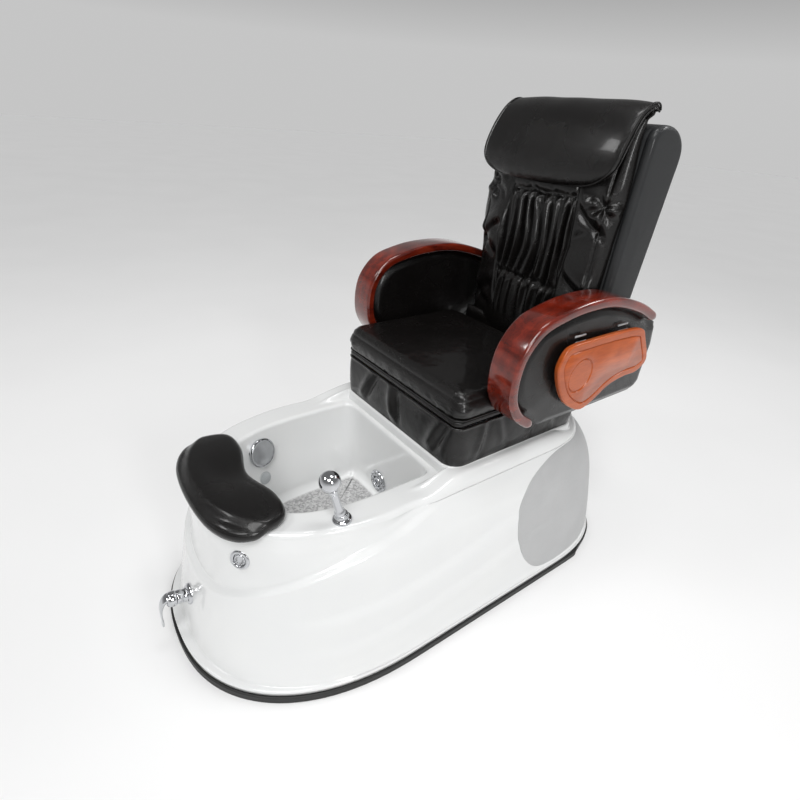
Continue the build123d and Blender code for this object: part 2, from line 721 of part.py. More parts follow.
lever_plane = Plane(
    origin=(-5, PIVOT_Y, PIVOT_Z),
    x_dir=(0, sin(radians(LEVER_ANGLE)), -cos(radians(LEVER_ANGLE))),
    z_dir=(1, 0, 0),
)
SLOT_MID = LEVER_DROP * (1 + 1 / cos(radians(LEVER_ANGLE))) / 2
with BuildPart() as recline_lever:
    with BuildSketch(lever_plane):
        with Locations((SLOT_MID / 2, 0)):
            Rectangle(SLOT_MID, 22)
        Circle(20)
        with Locations((SLOT_MID, 0)):
            Circle(12)
        Circle(12, mode=Mode.SUBTRACT)
        with Locations((SLOT_MID, 0)):
            SlotOverall(2 * LINK_PIN_R + 4, 2 * LINK_PIN_R + 0.9, mode=Mode.SUBTRACT)
    extrude(amount=10)
save(recline_lever, "recline_lever")

ROD_Z = PIVOT_Z - LEVER_DROP
LINK_Y = PIVOT_Y + LEVER_DROP * tan(radians(LEVER_ANGLE))
with BuildPart() as actuator_rod:
    with BuildSketch(Plane.XZ.offset(-215)):
        with Locations((0, ROD_Z)):
            Circle(ROD_R)
    extrude(amount=-(LINK_Y - 38 - 215))
    with Locations((0, LINK_Y - 30, ROD_Z)):
        Box(24, 16, 20)
    for way in SIDES.values():
        with Locations((way * 9, LINK_Y - 8, ROD_Z)):
            Box(6, 32, 18)
    with BuildSketch(Plane.YZ.offset(-12)):
        with Locations((LINK_Y, ROD_Z)):
            Circle(LINK_PIN_R)
    extrude(amount=24)
save(actuator_rod, "actuator_rod")

with BuildPart() as recline_actuator:
    with BuildSketch(Plane.XZ.offset(-110)):
        with Locations((0, ROD_Z)):
            Circle(19)
    extrude(amount=-230)
    with Locations((0, 110, ROD_Z)):
        Box(60, 70, 40)
    with Locations((0, 270, (ROD_Z + 18 + SEAT_BOTTOM) / 2)):
        Box(50, 40, SEAT_BOTTOM - ROD_Z - 18)
    with BuildSketch(Plane.XZ.offset(-340)):
        with Locations((0, ROD_Z)):
            Circle(ROD_R + RUN)
    extrude(amount=175, mode=Mode.SUBTRACT)
save(recline_actuator, "recline_actuator")

# ---------------------------------------------------------------- arms
BAND_LINE = [  # outer edge of the bent-wood band, from under the front round to the rear tip
    (121, 587),
    (60, 632),
    (25, 697),
    (33, 800),
    (86, 864),
    (166, 891),
    (258, 903),
    (364, 900),
    (498, 866),
    (590, 824),
]
band_edge = Spline(*BAND_LINE)
BAND_STEPS = 16


def band_inner(step):
    """Point on the band's inner edge, BAND_THICK inside the outer edge."""
    at, tangent = band_edge @ (step / BAND_STEPS), band_edge % (step / BAND_STEPS)
    return (at.X + tangent.Y * BAND_THICK, at.Y - tangent.X * BAND_THICK)


inner_points = [band_inner(step) for step in range(BAND_STEPS + 1)]

PANEL_REAR = [(628, 790), (641, 730), (634, 600), (606, 571), (311, 570), (180, 572)]

for side, way in SIDES.items():
    with BuildPart() as arm_band:
        with BuildSketch(Plane.YZ.offset(way * ARM_INNER)):
            with BuildLine():
                Spline(*BAND_LINE)
                Line(BAND_LINE[-1], inner_points[-1])
                Spline(*inner_points)
                Line(inner_points[0], BAND_LINE[0])
            make_face()
        extrude(amount=way * (ARM_OUTER - ARM_INNER))
    save(arm_band, f"arm_band_{side}")

    with BuildPart() as arm_panel:
        with BuildSketch(Plane.YZ.offset(way * PANEL_INNER)):
            with BuildLine():
                Spline(*inner_points)
                Polyline(inner_points[-1], *PANEL_REAR, inner_points[0])
            make_face()
        extrude(amount=way * (PANEL_OUTER - PANEL_INNER))
    save(arm_panel, f"arm_panel_{side}")

with BuildPart() as arm_brackets:
    for way in SIDES.values():
        for y in (205.0, 335.0):
            with Locations((way * 260, y, SEAT_BOTTOM - 2.5)):
                Box(20, 40, 5)
            with Locations((way * 268, y, 610)):
                Box(4, 40, 48)
save(arm_brackets, "arm_brackets")

# ---------------------------------------------------------------- side trays and their hinges
TRAY_LINE = [
    (159, 740),
    (160, 775),
    (186, 806),
    (268, 811),
    (400, 811),
    (492, 803),
    (524, 771),
    (566, 700),
    (530, 668),
    (468, 666),
    (400, 654),
    (343, 622),
    (291, 608),
    (230, 638),
    (190, 680),
]
CUP_Y, CUP_Z, CUP_R = 254.0, 720.0, 56.0

with BuildPart() as tray_hinge_plates:
    for way in SIDES.values():
        for front, rear in HINGE_SPANS:
            with Locations((way * (PANEL_OUTER + 1), (front + rear) / 2, TRAY_HINGE_Z + 12)):
                Box(2, rear - front, 24)
            with BuildSketch(Plane.XZ.offset(-front - 14)):
                with Locations((way * TRAY_HINGE_X, TRAY_HINGE_Z)):
                    Circle(4.5)
                with Locations((way * (TRAY_HINGE_X - 3), TRAY_HINGE_Z + 3)):
                    Rectangle(6, 3)
            extrude(amount=-(rear - front - 28))
            with BuildSketch(Plane.XZ.offset(-front)):
                with Locations((way * TRAY_HINGE_X, TRAY_HINGE_Z)):
                    Circle(TRAY_HINGE_R)
            extrude(amount=-(rear - front))
save(tray_hinge_plates, "tray_hinge_plates")

for side, way in SIDES.items():
    with BuildPart() as tray:
        with BuildSketch(Plane.YZ.offset(way * TRAY_INNER)):
            with BuildLine():
                Spline(*TRAY_LINE, periodic=True)
            make_face()
        extrude(amount=way * (TRAY_OUTER - TRAY_INNER))
        with BuildSketch(Plane.YZ.offset(way * TRAY_OUTER)):
            with Locations((CUP_Y, CUP_Z)):
                Circle(CUP_R)
        extrude(amount=way * -3.5, mode=Mode.SUBTRACT)
    save(tray, f"tray_{side}")

    with BuildPart() as tray_leaf:
        for front, rear in HINGE_SPANS:
            with Locations((way * (TRAY_INNER - 1), (front + rear) / 2, TRAY_HINGE_Z - 16)):
                Box(2, rear - front, 22)
            for start in (front, rear - 13):
                with BuildSketch(Plane.XZ.offset(-start)):
                    with Locations((way * TRAY_HINGE_X, TRAY_HINGE_Z)):
                        Circle(4.5)
                    with Locations((way * (TRAY_INNER - 2.5), TRAY_HINGE_Z - 4)):
                        Rectangle(5, 4)
                    with Locations((way * TRAY_HINGE_X, TRAY_HINGE_Z)):
                        Circle(TRAY_HINGE_R + RUN, mode=Mode.SUBTRACT)
                extrude(amount=-13)
    save(tray_leaf, f"tray_leaf_{side}")

# ---------------------------------------------------------------- backrest
with BuildPart() as back_shell:
    with BuildSketch(Plane.YZ.offset(-BACK_X)):
        with BuildLine():
            Line((back_y(BACK_BOTTOM), BACK_BOTTOM), (back_y(1272), 1272))
            Spline((back_y(1272), 1272), (540, 1284), (604, 1272), (644, 1225), tangents=[(0.5, 1), (0, -1)])
            Line((644, 1225), (590, 720))
            Spline((590, 720), (570, 670), (530, BACK_BOTTOM), tangents=[(-0.1, -1), (-1, 0)])
            Line((530, BACK_BOTTOM), (back_y(BACK_BOTTOM), BACK_BOTTOM))
        make_face()
    extrude(amount=2 * BACK_X)
    fillet(back_shell.edges().filter_by(GeomType.LINE).group_by(Axis.Y)[-1], 20)
    with BuildSketch(Plane.YZ.offset(-BACK_X + BACK_WALL)):
        with BuildLine():
            Polyline(
                (440, BACK_BOTTOM + BACK_WALL),
                (528, BACK_BOTTOM + BACK_WALL),
                (562, 680),
                (582, 722),
                (634, 1224),
                (598, 1264),
                (540, 1275),
                (440, 1262),
                close=True,
            )
        make_face()
    extrude(amount=2 * (BACK_X - BACK_WALL), mode=Mode.SUBTRACT)
save(back_shell, "back_shell")

with BuildPart() as back_cover:
    with BuildSketch(Plane.YZ.offset(-COVER_X)):
        with BuildLine():
            Spline((402, 660), (398, 800), (400, 980), (412, 1128), (440, 1264), (502, 1326))
            Polyline((502, 1326), (505, 1304), (back_y(1296) - GAP, 1296), (back_y(660) - GAP, 660), (402, 660))
        make_face()
    extrude(amount=2 * COVER_X)
save(back_cover, "back_cover")

with BuildPart() as pillow_flap:
    with BuildSketch(Plane.YZ.offset(-COVER_X)):
        with BuildLine():
            Spline((420, 1132), (384, 1132), (380, 1165), (400, 1240), (434, 1308), (490, 1338), (504, 1324))
            Line((504, 1324), (420, 1132))
        make_face()
    extrude(amount=2 * COVER_X)
    add(back_cover.part, mode=Mode.SUBTRACT)
save(pillow_flap, "pillow_flap")

# ---------------------------------------------------------------- massage mechanism, behind the cover
lean = (0, BACK_SLOPE / (1 + BACK_SLOPE**2) ** 0.5, 1 / (1 + BACK_SLOPE**2) ** 0.5)
mech = Plane(origin=(0, GUIDE_Y, GUIDE_LOW), x_dir=(1, 0, 0), z_dir=lean)

with BuildPart() as guide_rods:
    with BuildSketch(mech):
        with GridLocations(2 * GUIDE_X, 1, 2, 1):
            Circle(GUIDE_R)
    extrude(amount=GUIDE_LONG)
save(guide_rods, "guide_rods")

with BuildPart() as guide_ends:
    for start in (-10.0, GUIDE_LONG):
        with BuildSketch(mech.offset(start)):
            Rectangle(360, 26)
            Circle(SCREW_R + RUN, mode=Mode.SUBTRACT)
        extrude(amount=10)
save(guide_ends, "guide_ends")

with BuildPart() as lead_screw:
    with BuildSketch(mech.offset(-8)):
        Circle(SCREW_R)
    extrude(amount=GUIDE_LONG + 16)
save(lead_screw, "lead_screw")

CARRIAGE_LOW, CARRIAGE_TALL, AXLE_REACH = 20.0, 90.0, 50.0
AXLE_R = 6.0
axle_at = mech.from_local_coords((0, -AXLE_REACH + 2, CARRIAGE_LOW + CARRIAGE_TALL / 2))
roller_plane = Plane(origin=axle_at, x_dir=(0, 1, 0), z_dir=(1, 0, 0))
with BuildPart() as massage_carriage:
    with BuildSketch(mech.offset(CARRIAGE_LOW)):
        RectangleRounded(350, 36, 5)
        for way in SIDES.values():
            with Locations((way * 72, -AXLE_REACH / 2 - 8)):
                Rectangle(8, AXLE_REACH)
        Circle(SCREW_R + RUN, mode=Mode.SUBTRACT)
        with GridLocations(2 * GUIDE_X, 1, 2, 1):
            Circle(GUIDE_R + RUN, mode=Mode.SUBTRACT)
    extrude(amount=CARRIAGE_TALL)
    with BuildSketch(roller_plane):
        Circle(AXLE_R + RUN)
    extrude(amount=200, both=True, mode=Mode.SUBTRACT)
save(massage_carriage, "massage_carriage")

with BuildPart() as massage_rollers:
    with BuildSketch(roller_plane):
        Circle(AXLE_R)
    extrude(amount=125, both=True)
    for x in (-108.0, -45.0, 45.0, 108.0):
        with BuildSketch(roller_plane.offset(x)):
            Circle(ROLLER_R)
        extrude(amount=ROLLER_WIDE / 2, both=True)
save(massage_rollers, "massage_rollers")
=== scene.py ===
"""Looks of the pedicure spa chair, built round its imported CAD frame. Metres, +Z up, -Y is the basin end."""

import json
import math

import bmesh
import bpy
import numpy as np
from mathutils import Matrix, Vector, noise
from mathutils.geometry import delaunay_2d_cdt


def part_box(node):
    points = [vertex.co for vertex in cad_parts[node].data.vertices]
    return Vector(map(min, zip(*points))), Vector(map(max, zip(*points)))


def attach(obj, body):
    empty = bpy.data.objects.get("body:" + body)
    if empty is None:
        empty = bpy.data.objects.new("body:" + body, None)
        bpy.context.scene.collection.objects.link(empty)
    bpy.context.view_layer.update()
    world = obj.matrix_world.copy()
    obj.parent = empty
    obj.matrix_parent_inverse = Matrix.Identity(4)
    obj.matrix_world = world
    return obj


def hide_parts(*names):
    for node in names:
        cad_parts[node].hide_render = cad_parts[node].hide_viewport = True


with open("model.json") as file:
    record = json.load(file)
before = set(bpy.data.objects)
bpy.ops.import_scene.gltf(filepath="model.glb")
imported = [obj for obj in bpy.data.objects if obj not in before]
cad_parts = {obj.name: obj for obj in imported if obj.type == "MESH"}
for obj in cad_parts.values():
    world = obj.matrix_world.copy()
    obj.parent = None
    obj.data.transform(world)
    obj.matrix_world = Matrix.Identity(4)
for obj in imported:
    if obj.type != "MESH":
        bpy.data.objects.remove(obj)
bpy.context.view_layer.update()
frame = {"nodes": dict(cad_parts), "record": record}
NODES = frame["nodes"]
SIDES = {"left": 1.0, "right": -1.0}


# ---- numbers
def smooth(value, low, high):
    """Smoothstep of value between low and high."""
    t = np.clip((np.asarray(value, float) - low) / (high - low), 0.0, 1.0)
    return t * t * (3.0 - 2.0 * t)


def hermite(t, start, leave, end, arrive):
    """Cubic from start to end with the given tangents, at t from 0 to 1."""
    first = start * (1 + 2 * t) * (1 - t) ** 2 + leave * t * (1 - t) ** 2
    return first + end * t * t * (3 - 2 * t) + arrive * t * t * (t - 1)


def hill(value, centre, width):
    """Smooth bump: 1 at centre, fading over width."""
    return np.exp(-(((value - centre) / width) ** 2))


def squarish(wave, power):
    """A sine or cosine raised to a power with its sign kept, for superellipses."""
    return np.sign(wave) * np.abs(wave) ** power


def curve_at(x, knots, values):
    """Monotone cubic through knots, evaluated at x."""
    k, v = np.asarray(knots, float), np.asarray(values, float)
    x = np.clip(np.asarray(x, float), k[0], k[-1])
    slope = np.diff(v) / np.diff(k)
    tangent = np.zeros(len(k))
    tangent[0], tangent[-1] = slope[0], slope[-1]
    for i in range(1, len(k) - 1):
        a, b = slope[i - 1], slope[i]
        tangent[i] = 0.0 if a * b <= 0 else 2.0 * a * b / (a + b)
    i = np.clip(np.searchsorted(k, x) - 1, 0, len(k) - 2)
    h = k[i + 1] - k[i]
    return hermite((x - k[i]) / h, v[i], tangent[i] * h, v[i + 1], tangent[i + 1] * h)


def closed_curve(points, count):
    """count points on a closed Catmull-Rom curve through points, evenly spaced by length."""
    p = np.asarray(points, float)
    n = len(p)
    dense = []
    for i in range(n):
        p0, p1, p2, p3 = p[i - 1], p[i], p[(i + 1) % n], p[(i + 2) % n]
        for t in np.linspace(0, 1, 24, endpoint=False):
            dense.append(hermite(t, p1, (p2 - p0) * 0.5, p2, (p3 - p1) * 0.5))
    return even(np.array(dense), count, closed=True)


def even(points, count, closed=False):
    """points resampled to count points evenly spaced by length."""
    p = np.asarray(points, float)
    if closed:
        p = np.vstack([p, p[:1]])
    along = np.concatenate([[0], np.cumsum(np.linalg.norm(np.diff(p, axis=0), axis=1))])
    at = np.linspace(0, along[-1], count, endpoint=not closed)
    return np.column_stack([np.interp(at, along, p[:, k]) for k in range(p.shape[1])])


def open_curve(points, count):
    """Evenly spaced points on an open Catmull-Rom curve, with end tangents that keep the curve's bend."""
    p = np.asarray(points, float)
    first, last = 2 * p[0] - p[1], 2 * p[-1] - p[-2]
    p = np.vstack([first, p, last])
    dense = []
    for i in range(1, len(p) - 2):
        p0, p1, p2, p3 = p[i - 1 : i + 3]
        d0, d1, d2 = (max(np.linalg.norm(b - a), 1e-9) ** 0.5 for a, b in ((p0, p1), (p1, p2), (p2, p3)))
        m1 = d1 * ((p1 - p0) / d0 - (p2 - p0) / (d0 + d1) + (p2 - p1) / d1)
        m2 = d1 * ((p2 - p1) / d1 - (p3 - p1) / (d1 + d2) + (p3 - p2) / d2)
        for t in np.linspace(0, 1, 30, endpoint=i == len(p) - 3):
            dense.append(hermite(t, p1, m1, p2, m2))
    return even(dense, count)


def headings(points):
    """Unit tangents along a line of points."""
    ahead = np.gradient(points, axis=0)
    return ahead / np.linalg.norm(ahead, axis=1)[:, None]


def softened(ring, times):
    """A closed ring with each point drawn towards its neighbours."""
    for _ in range(times):
        ring = (np.roll(ring, 1, axis=0) + 2 * ring + np.roll(ring, -1, axis=0)) / 4
    return ring


def raised(plan, z):
    """(x, y) points at a height, or at a height each."""
    return np.column_stack([plan, np.broadcast_to(z, len(plan))])


def upright(x, outline):
    """(y, z) points at x, or at an x each."""
    return np.column_stack([np.broadcast_to(x, len(outline)), outline])


def ripple(x, y, z, scale, seed=0.0):
    """Smooth noise of a place, about -1 to 1; seed picks another field."""
    return noise.noise(Vector((x * scale + seed, y * scale - seed, z * scale + 3.1 * seed)))


def ripples(points, scale, seed=0.0):
    """Smooth noise of every point."""
    return np.array([ripple(p[0], p[1], p[2], scale, seed) for p in points])


# ---- meshes
def piece(name, verts, faces, slot, body, stands_for=()):
    """A smooth mesh object of one material riding on a body, in place of CAD nodes."""
    mesh = bpy.data.meshes.new(name)
    mesh.from_pydata([tuple(map(float, v)) for v in verts], [], [tuple(map(int, f)) for f in faces])
    mesh.validate()
    obj = bpy.data.objects.new(name, mesh)
    bpy.context.scene.collection.objects.link(obj)
    tidy_normals(obj)
    mesh.shade_smooth()
    mesh.materials.append(MATERIALS[slot])
    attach(obj, body)
    if stands_for:
        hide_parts(*stands_for)
    return obj


def tidy_normals(obj):
    """Merges doubled points and turns every face outwards."""
    bm = bmesh.new()
    bm.from_mesh(obj.data)
    bmesh.ops.remove_doubles(bm, verts=bm.verts, dist=1e-6)
    bmesh.ops.recalc_face_normals(bm, faces=bm.faces)
    bm.to_mesh(obj.data)
    bm.free()


def ring_faces(rows, columns, first=0):
    """Quads between closed rows of points."""
    faces = []
    for r in range(rows - 1):
        for c in range(columns):
            d = (c + 1) % columns
            a, b = first + r * columns, first + (r + 1) * columns
            faces.append((a + c, a + d, b + d, b + c))
    return faces


def loft(name, rings, slot, body, stands_for=(), caps=(True, True)):
    """A skin through rings of equal length, with a fan over the first and last ring if capped."""
    count = len(rings[0])
    verts = list(np.vstack(rings))
    faces = ring_faces(len(rings), count)
    for capped, ring, start in ((caps[0], rings[0], 0), (caps[1], rings[-1], (len(rings) - 1) * count)):
        if capped:
            verts.append(np.mean(ring, axis=0))
            faces += [(start + c, start + (c + 1) % count, len(verts) - 1) for c in range(count)]
    return piece(name, verts, faces, slot, body, stands_for)


def normals_2d(ring):
    """Outward unit normals of a closed ring of 2-D points."""
    ahead, behind = np.roll(ring, -1, axis=0), np.roll(ring, 1, axis=0)
    along = ahead - behind
    normal = np.column_stack([along[:, 1], -along[:, 0]])
    normal /= np.linalg.norm(normal, axis=1)[:, None] + 1e-12
    area = np.sum(ring[:, 0] * ahead[:, 1] - ahead[:, 0] * ring[:, 1])
    return normal if area > 0 else -normal


def tube(name, points, radius, slot, body, closed=False):
    """A round bead of piping along points."""
    p = np.asarray(points, float)
    count, sides = len(p), 10
    ahead = np.roll(p, -1, axis=0) - np.roll(p, 1, axis=0)
    if not closed:
        ahead[0], ahead[-1] = p[1] - p[0], p[-1] - p[-2]
    ahead /= np.linalg.norm(ahead, axis=1)[:, None]
    up = np.array([0.0, 0.0, 1.0]) if abs(ahead[0][2]) < 0.9 else np.array([1.0, 0.0, 0.0])
    turn = np.linspace(0, 2 * math.pi, sides, endpoint=False)[:, None]
    rings = []
    side = np.cross(ahead[0], up)
    for here, along in zip(p, ahead):
        side = side - along * np.dot(side, along)
        side /= np.linalg.norm(side)
        rings.append(here + radius * (np.cos(turn) * side + np.sin(turn) * np.cross(along, side)))
    if not closed:
        return loft(name, rings, slot, body)
    faces = ring_faces(count, sides)
    last = (count - 1) * sides
    faces += [(last + c, last + (c + 1) % sides, (c + 1) % sides, c) for c in range(sides)]
    return piece(name, np.vstack(rings), faces, slot, body)


# ---- materials
def new_material(name, colour, roughness, metallic=0.0, coat=0.0, coat_roughness=0.03, specular=0.5):
    """A node material with its tree and its Principled shader."""
    material = bpy.data.materials.new(name)
    material.use_nodes = True
    tree = material.node_tree
    shader = tree.nodes["Principled BSDF"]
    shader.inputs["Base Color"].default_value = (*colour, 1.0)
    shader.inputs["Roughness"].default_value = roughness
    shader.inputs["Metallic"].default_value = metallic
    shader.inputs["Coat Weight"].default_value = coat
    shader.inputs["Coat Roughness"].default_value = coat_roughness
    shader.inputs["Specular IOR Level"].default_value = specular
    return material, tree, shader


def node(tree, kind, **settings):
    """A node with its input defaults or its own properties set."""
    made = tree.nodes.new(kind)
    for key, value in settings.items():
        if key in made.inputs:
            made.inputs[key].default_value = value
        else:
            setattr(made, key, value)
    return made


def texture(tree, kind, scale, stretch=(1, 1, 1), **settings):
    """A 3-D texture in the object's own metres."""
    place = node(tree, "ShaderNodeTexCoord")
    mapping = node(tree, "ShaderNodeMapping")
    mapping.inputs["Scale"].default_value = stretch
    made = node(tree, kind, Scale=scale, **settings)
    tree.links.new(place.outputs["Object"], mapping.inputs["Vector"])
    tree.links.new(mapping.outputs["Vector"], made.inputs["Vector"])
    return made


def ramp(tree, source, stops):
    """A colour ramp over a value."""
    made = node(tree, "ShaderNodeValToRGB")
    bar = made.color_ramp
    while len(bar.elements) < len(stops):
        bar.elements.new(0.5)
    for element, (at, colour) in zip(bar.elements, stops):
        element.position = at
        element.color = (*colour, 1.0) if len(colour) == 3 else colour
    tree.links.new(source, made.inputs["Fac"])
    return made


def bump(tree, source, distance, under=None):
    """Relief of a height in metres, on top of another relief."""
    made = node(tree, "ShaderNodeBump", Strength=1.0, Distance=distance)
    tree.links.new(source, made.inputs["Height"])
    if under:
        tree.links.new(under.outputs["Normal"], made.inputs["Normal"])
    return made


def spread(tree, source, low, high):
    """Maps a 0-1 value to low-high."""
    made = node(tree, "ShaderNodeMapRange")
    made.inputs["To Min"].default_value = low
    made.inputs["To Max"].default_value = high
    tree.links.new(source, made.inputs["Value"])
    return made


def multiply(tree, share, first, second):
    """Darkens one colour by another, by a share."""
    made = node(tree, "ShaderNodeMix", data_type="RGBA", blend_type="MULTIPLY")
    made.inputs["Factor"].default_value = share
    tree.links.new(first, made.inputs["A"])
    tree.links.new(second, made.inputs["B"])
    return made.outputs["Result"]


def dress(tree, shader, colour, rough=None, relief=None):
    """Feeds a shader's colour, roughness and surface relief."""
    tree.links.new(colour, shader.inputs["Base Color"])
    if rough:
        tree.links.new(rough.outputs[0], shader.inputs["Roughness"])
    if relief:
        tree.links.new(relief.outputs["Normal"], shader.inputs["Normal"])


def shades(colour, dark, light):
    """A colour made darker and lighter, kept below white."""
    return tuple(c * dark for c in colour), tuple(min(1, c * light) for c in colour)


def grey(level):
    """A neutral colour."""
    return (level, level, level)


def gelcoat():
    """Glossy white moulded shell; the basin floor is a speckled grey anti-slip finish."""
    material, tree, shader = new_material("gelcoat_white", (0.74, 0.745, 0.74), 0.16, coat=0.6)
    waves = texture(tree, "ShaderNodeTexNoise", 6.0, Detail=3.0)
    tone = ramp(tree, waves.outputs["Fac"], [(0.3, (0.725, 0.733, 0.732)), (0.7, (0.742, 0.748, 0.743))])
    speck = texture(tree, "ShaderNodeTexVoronoi", 190.0)
    stone = ramp(tree, speck.outputs["Color"], [(0.25, grey(0.30)), (0.5, grey(0.40)), (0.8, grey(0.52))])
    place = node(tree, "ShaderNodeTexCoord")
    axes = node(tree, "ShaderNodeSeparateXYZ")
    tree.links.new(place.outputs["Object"], axes.inputs["Vector"])
    across = node(tree, "ShaderNodeMath", operation="ABSOLUTE")
    tree.links.new(axes.outputs["X"], across.inputs[0])
    limits = (
        (axes.outputs["Z"], FLOOR_Z + 0.0035, FLOOR_Z + 0.0015), (axes.outputs["Z"], FLOOR_Z - 0.02, FLOOR_Z - 0.01),
        (across.outputs[0], 0.25, 0.24), (axes.outputs["Y"], -0.50, -0.48), (axes.outputs["Y"], -0.04, -0.05),
    )
    mask = None
    for value, outside, within in limits:
        gate = node(tree, "ShaderNodeMapRange")
        gate.inputs["From Min"].default_value = outside
        gate.inputs["From Max"].default_value = within
        tree.links.new(value, gate.inputs["Value"])
        if mask:
            both = node(tree, "ShaderNodeMath", operation="MULTIPLY")
            tree.links.new(mask.outputs[0], both.inputs[0])
            tree.links.new(gate.outputs[0], both.inputs[1])
            mask = both
        else:
            mask = gate
    mix = node(tree, "ShaderNodeMix", data_type="RGBA")
    tree.links.new(mask.outputs[0], mix.inputs["Factor"])
    tree.links.new(tone.outputs["Color"], mix.inputs["A"])
    tree.links.new(stone.outputs["Color"], mix.inputs["B"])
    peel = texture(tree, "ShaderNodeTexNoise", 130.0, Detail=2.0)
    dress(tree, shader, mix.outputs["Result"], relief=bump(tree, peel.outputs["Fac"], 0.00012))
    return material


def painted_shade_grey():
    """Satin grey with a fine fleck, for the sheets that paint the shade falling on the rear flanks."""
    material, tree, shader = new_material("panel_grey", grey(0.30), 0.42)
    cloud = texture(tree, "ShaderNodeTexNoise", 9.0, Detail=4.0)
    tone = ramp(tree, cloud.outputs["Fac"], [(0.3, (0.43, 0.433, 0.435)), (0.7, (0.47, 0.473, 0.475))])
    fleck = texture(tree, "ShaderNodeTexNoise", 900.0, Detail=1.0)
    light = ramp(tree, fleck.outputs["Fac"], [(0.35, grey(0.88)), (0.65, grey(1.0))])
    mixed = multiply(tree, 1.0, tone.outputs["Color"], light.outputs["Color"])
    dress(tree, shader, mixed, relief=bump(tree, fleck.outputs["Fac"], 0.00005))
    return material


def leather(name, colour, roughness, grain=420.0, depth=0.00009, crease=0.0004):
    """Coated leather: pebble grain from cell edges, finer pores and slow creases."""
    material, tree, shader = new_material(name, colour, roughness, coat=0.22, coat_roughness=0.10, specular=0.30)
    cells = texture(tree, "ShaderNodeTexVoronoi", grain, feature="DISTANCE_TO_EDGE")
    cell_map = ramp(tree, cells.outputs["Distance"], [(0.0, grey(0.0)), (0.12, grey(1.0))])
    pores = texture(tree, "ShaderNodeTexNoise", grain * 3.0, Detail=2.0)
    slow = texture(tree, "ShaderNodeTexNoise", 9.0, Detail=3.0, Distortion=0.4)
    dark, light = shades(colour, 0.8, 1.25)
    tone = ramp(tree, slow.outputs["Fac"], [(0.25, dark), (0.75, light)])
    rough = spread(tree, slow.outputs["Fac"], roughness * 0.85, roughness * 1.2)
    broad = bump(tree, slow.outputs["Fac"], crease)
    grainy = bump(tree, cell_map.outputs["Color"], depth, under=broad)
    fine = bump(tree, pores.outputs["Fac"], depth * 0.4, under=grainy)
    dress(tree, shader, tone.outputs["Color"], rough, fine)
    return material


def wood(name, dark, mid, light, roughness=0.35, figure_share=0.8, coat=0.6):
    """Lacquered wood: long grain along Y and Z arcs, fine pores under a clear coat."""
    material, tree, shader = new_material(name, mid, roughness, coat=coat, coat_roughness=0.08, specular=0.3)
    figure = texture(tree, "ShaderNodeTexNoise", 9.0, stretch=(1.0, 0.9, 3.2), Detail=6.0, Distortion=1.1)
    lines = texture(tree, "ShaderNodeTexWave", 16.0, stretch=(0.6, 0.25, 1.6), Distortion=5.0, Detail=3.0)
    pores = texture(tree, "ShaderNodeTexNoise", 260.0, stretch=(1.0, 0.12, 0.9), Detail=3.0)
    base = ramp(tree, figure.outputs["Fac"], [(0.28, dark), (0.5, mid), (0.74, light)])
    shade = ramp(tree, lines.outputs["Fac"], [(0.2, grey(0.72)), (0.8, grey(1.0))])
    pore = ramp(tree, pores.outputs["Fac"], [(0.38, grey(0.72)), (0.56, grey(1.0))])
    figured = multiply(tree, figure_share, base.outputs["Color"], shade.outputs["Color"])
    pored = multiply(tree, figure_share * 0.85, figured, pore.outputs["Color"])
    dress(tree, shader, pored, relief=bump(tree, pores.outputs["Fac"], 0.00008))
    return material


def metal(name, colour, roughness, brushed=False):
    """Polished or brushed metal with smeared gloss."""
    material, tree, shader = new_material(name, colour, roughness, metallic=1.0)
    stretch = (1.0, 1.0, 18.0) if brushed else (1.0, 1.0, 1.0)
    smear = texture(tree, "ShaderNodeTexNoise", 60.0, stretch=stretch, Detail=4.0)
    rough = spread(tree, smear.outputs["Fac"], roughness * 0.6, roughness * 1.6)
    dark, light = shades(colour, 0.92, 1.05)
    tone = ramp(tree, smear.outputs["Fac"], [(0.3, dark), (0.7, light)])
    dress(tree, shader, tone.outputs["Color"], rough)
    return material


def moulded(name, colour, roughness, grain=600.0, depth=0.0001, metallic=0.0):
    """Moulded plastic, rubber, paint or board: mottled tone and a fine texture."""
    material, tree, shader = new_material(name, colour, roughness, metallic=metallic)
    fleck = texture(tree, "ShaderNodeTexNoise", grain, Detail=2.0)
    slow = texture(tree, "ShaderNodeTexNoise", 12.0, Detail=4.0)
    dark, light = shades(colour, 0.8, 1.2)
    tone = ramp(tree, slow.outputs["Fac"], [(0.3, dark), (0.7, light)])
    rough = spread(tree, slow.outputs["Fac"], roughness * 0.85, min(1.0, roughness * 1.2))
    dress(tree, shader, tone.outputs["Color"], rough, bump(tree, fleck.outputs["Fac"], depth))
    return material


# ---- hull numbers
DATUM_Y = 0.086
NOSE_SHARE, NOSE_POWER = 0.654, 2.365
TAIL_SHARE, TAIL_POWER = 0.593, 2.595
DECK_Z = 0.445
FLOOR_Z = 0.202
FLANGE = (0.386, -0.703, 0.735)
HEIGHTS = (0.020, 0.120, 0.200, 0.280, 0.350, 0.400, 0.430, 0.445)
HALF_WIDTHS = (0.382, 0.370, 0.362, 0.353, 0.343, 0.322, 0.303, 0.294)
FRONTS = (-0.683, -0.666, -0.652, -0.638, -0.628, -0.622, -0.612, -0.604)
REARS = (0.731, 0.716, 0.696, 0.674, 0.642, 0.612, 0.584, 0.566)
BASIN_MID_Y, BASIN_REAR_Y = -0.27, -0.0665
SHELL_TOP_Z = 1.285

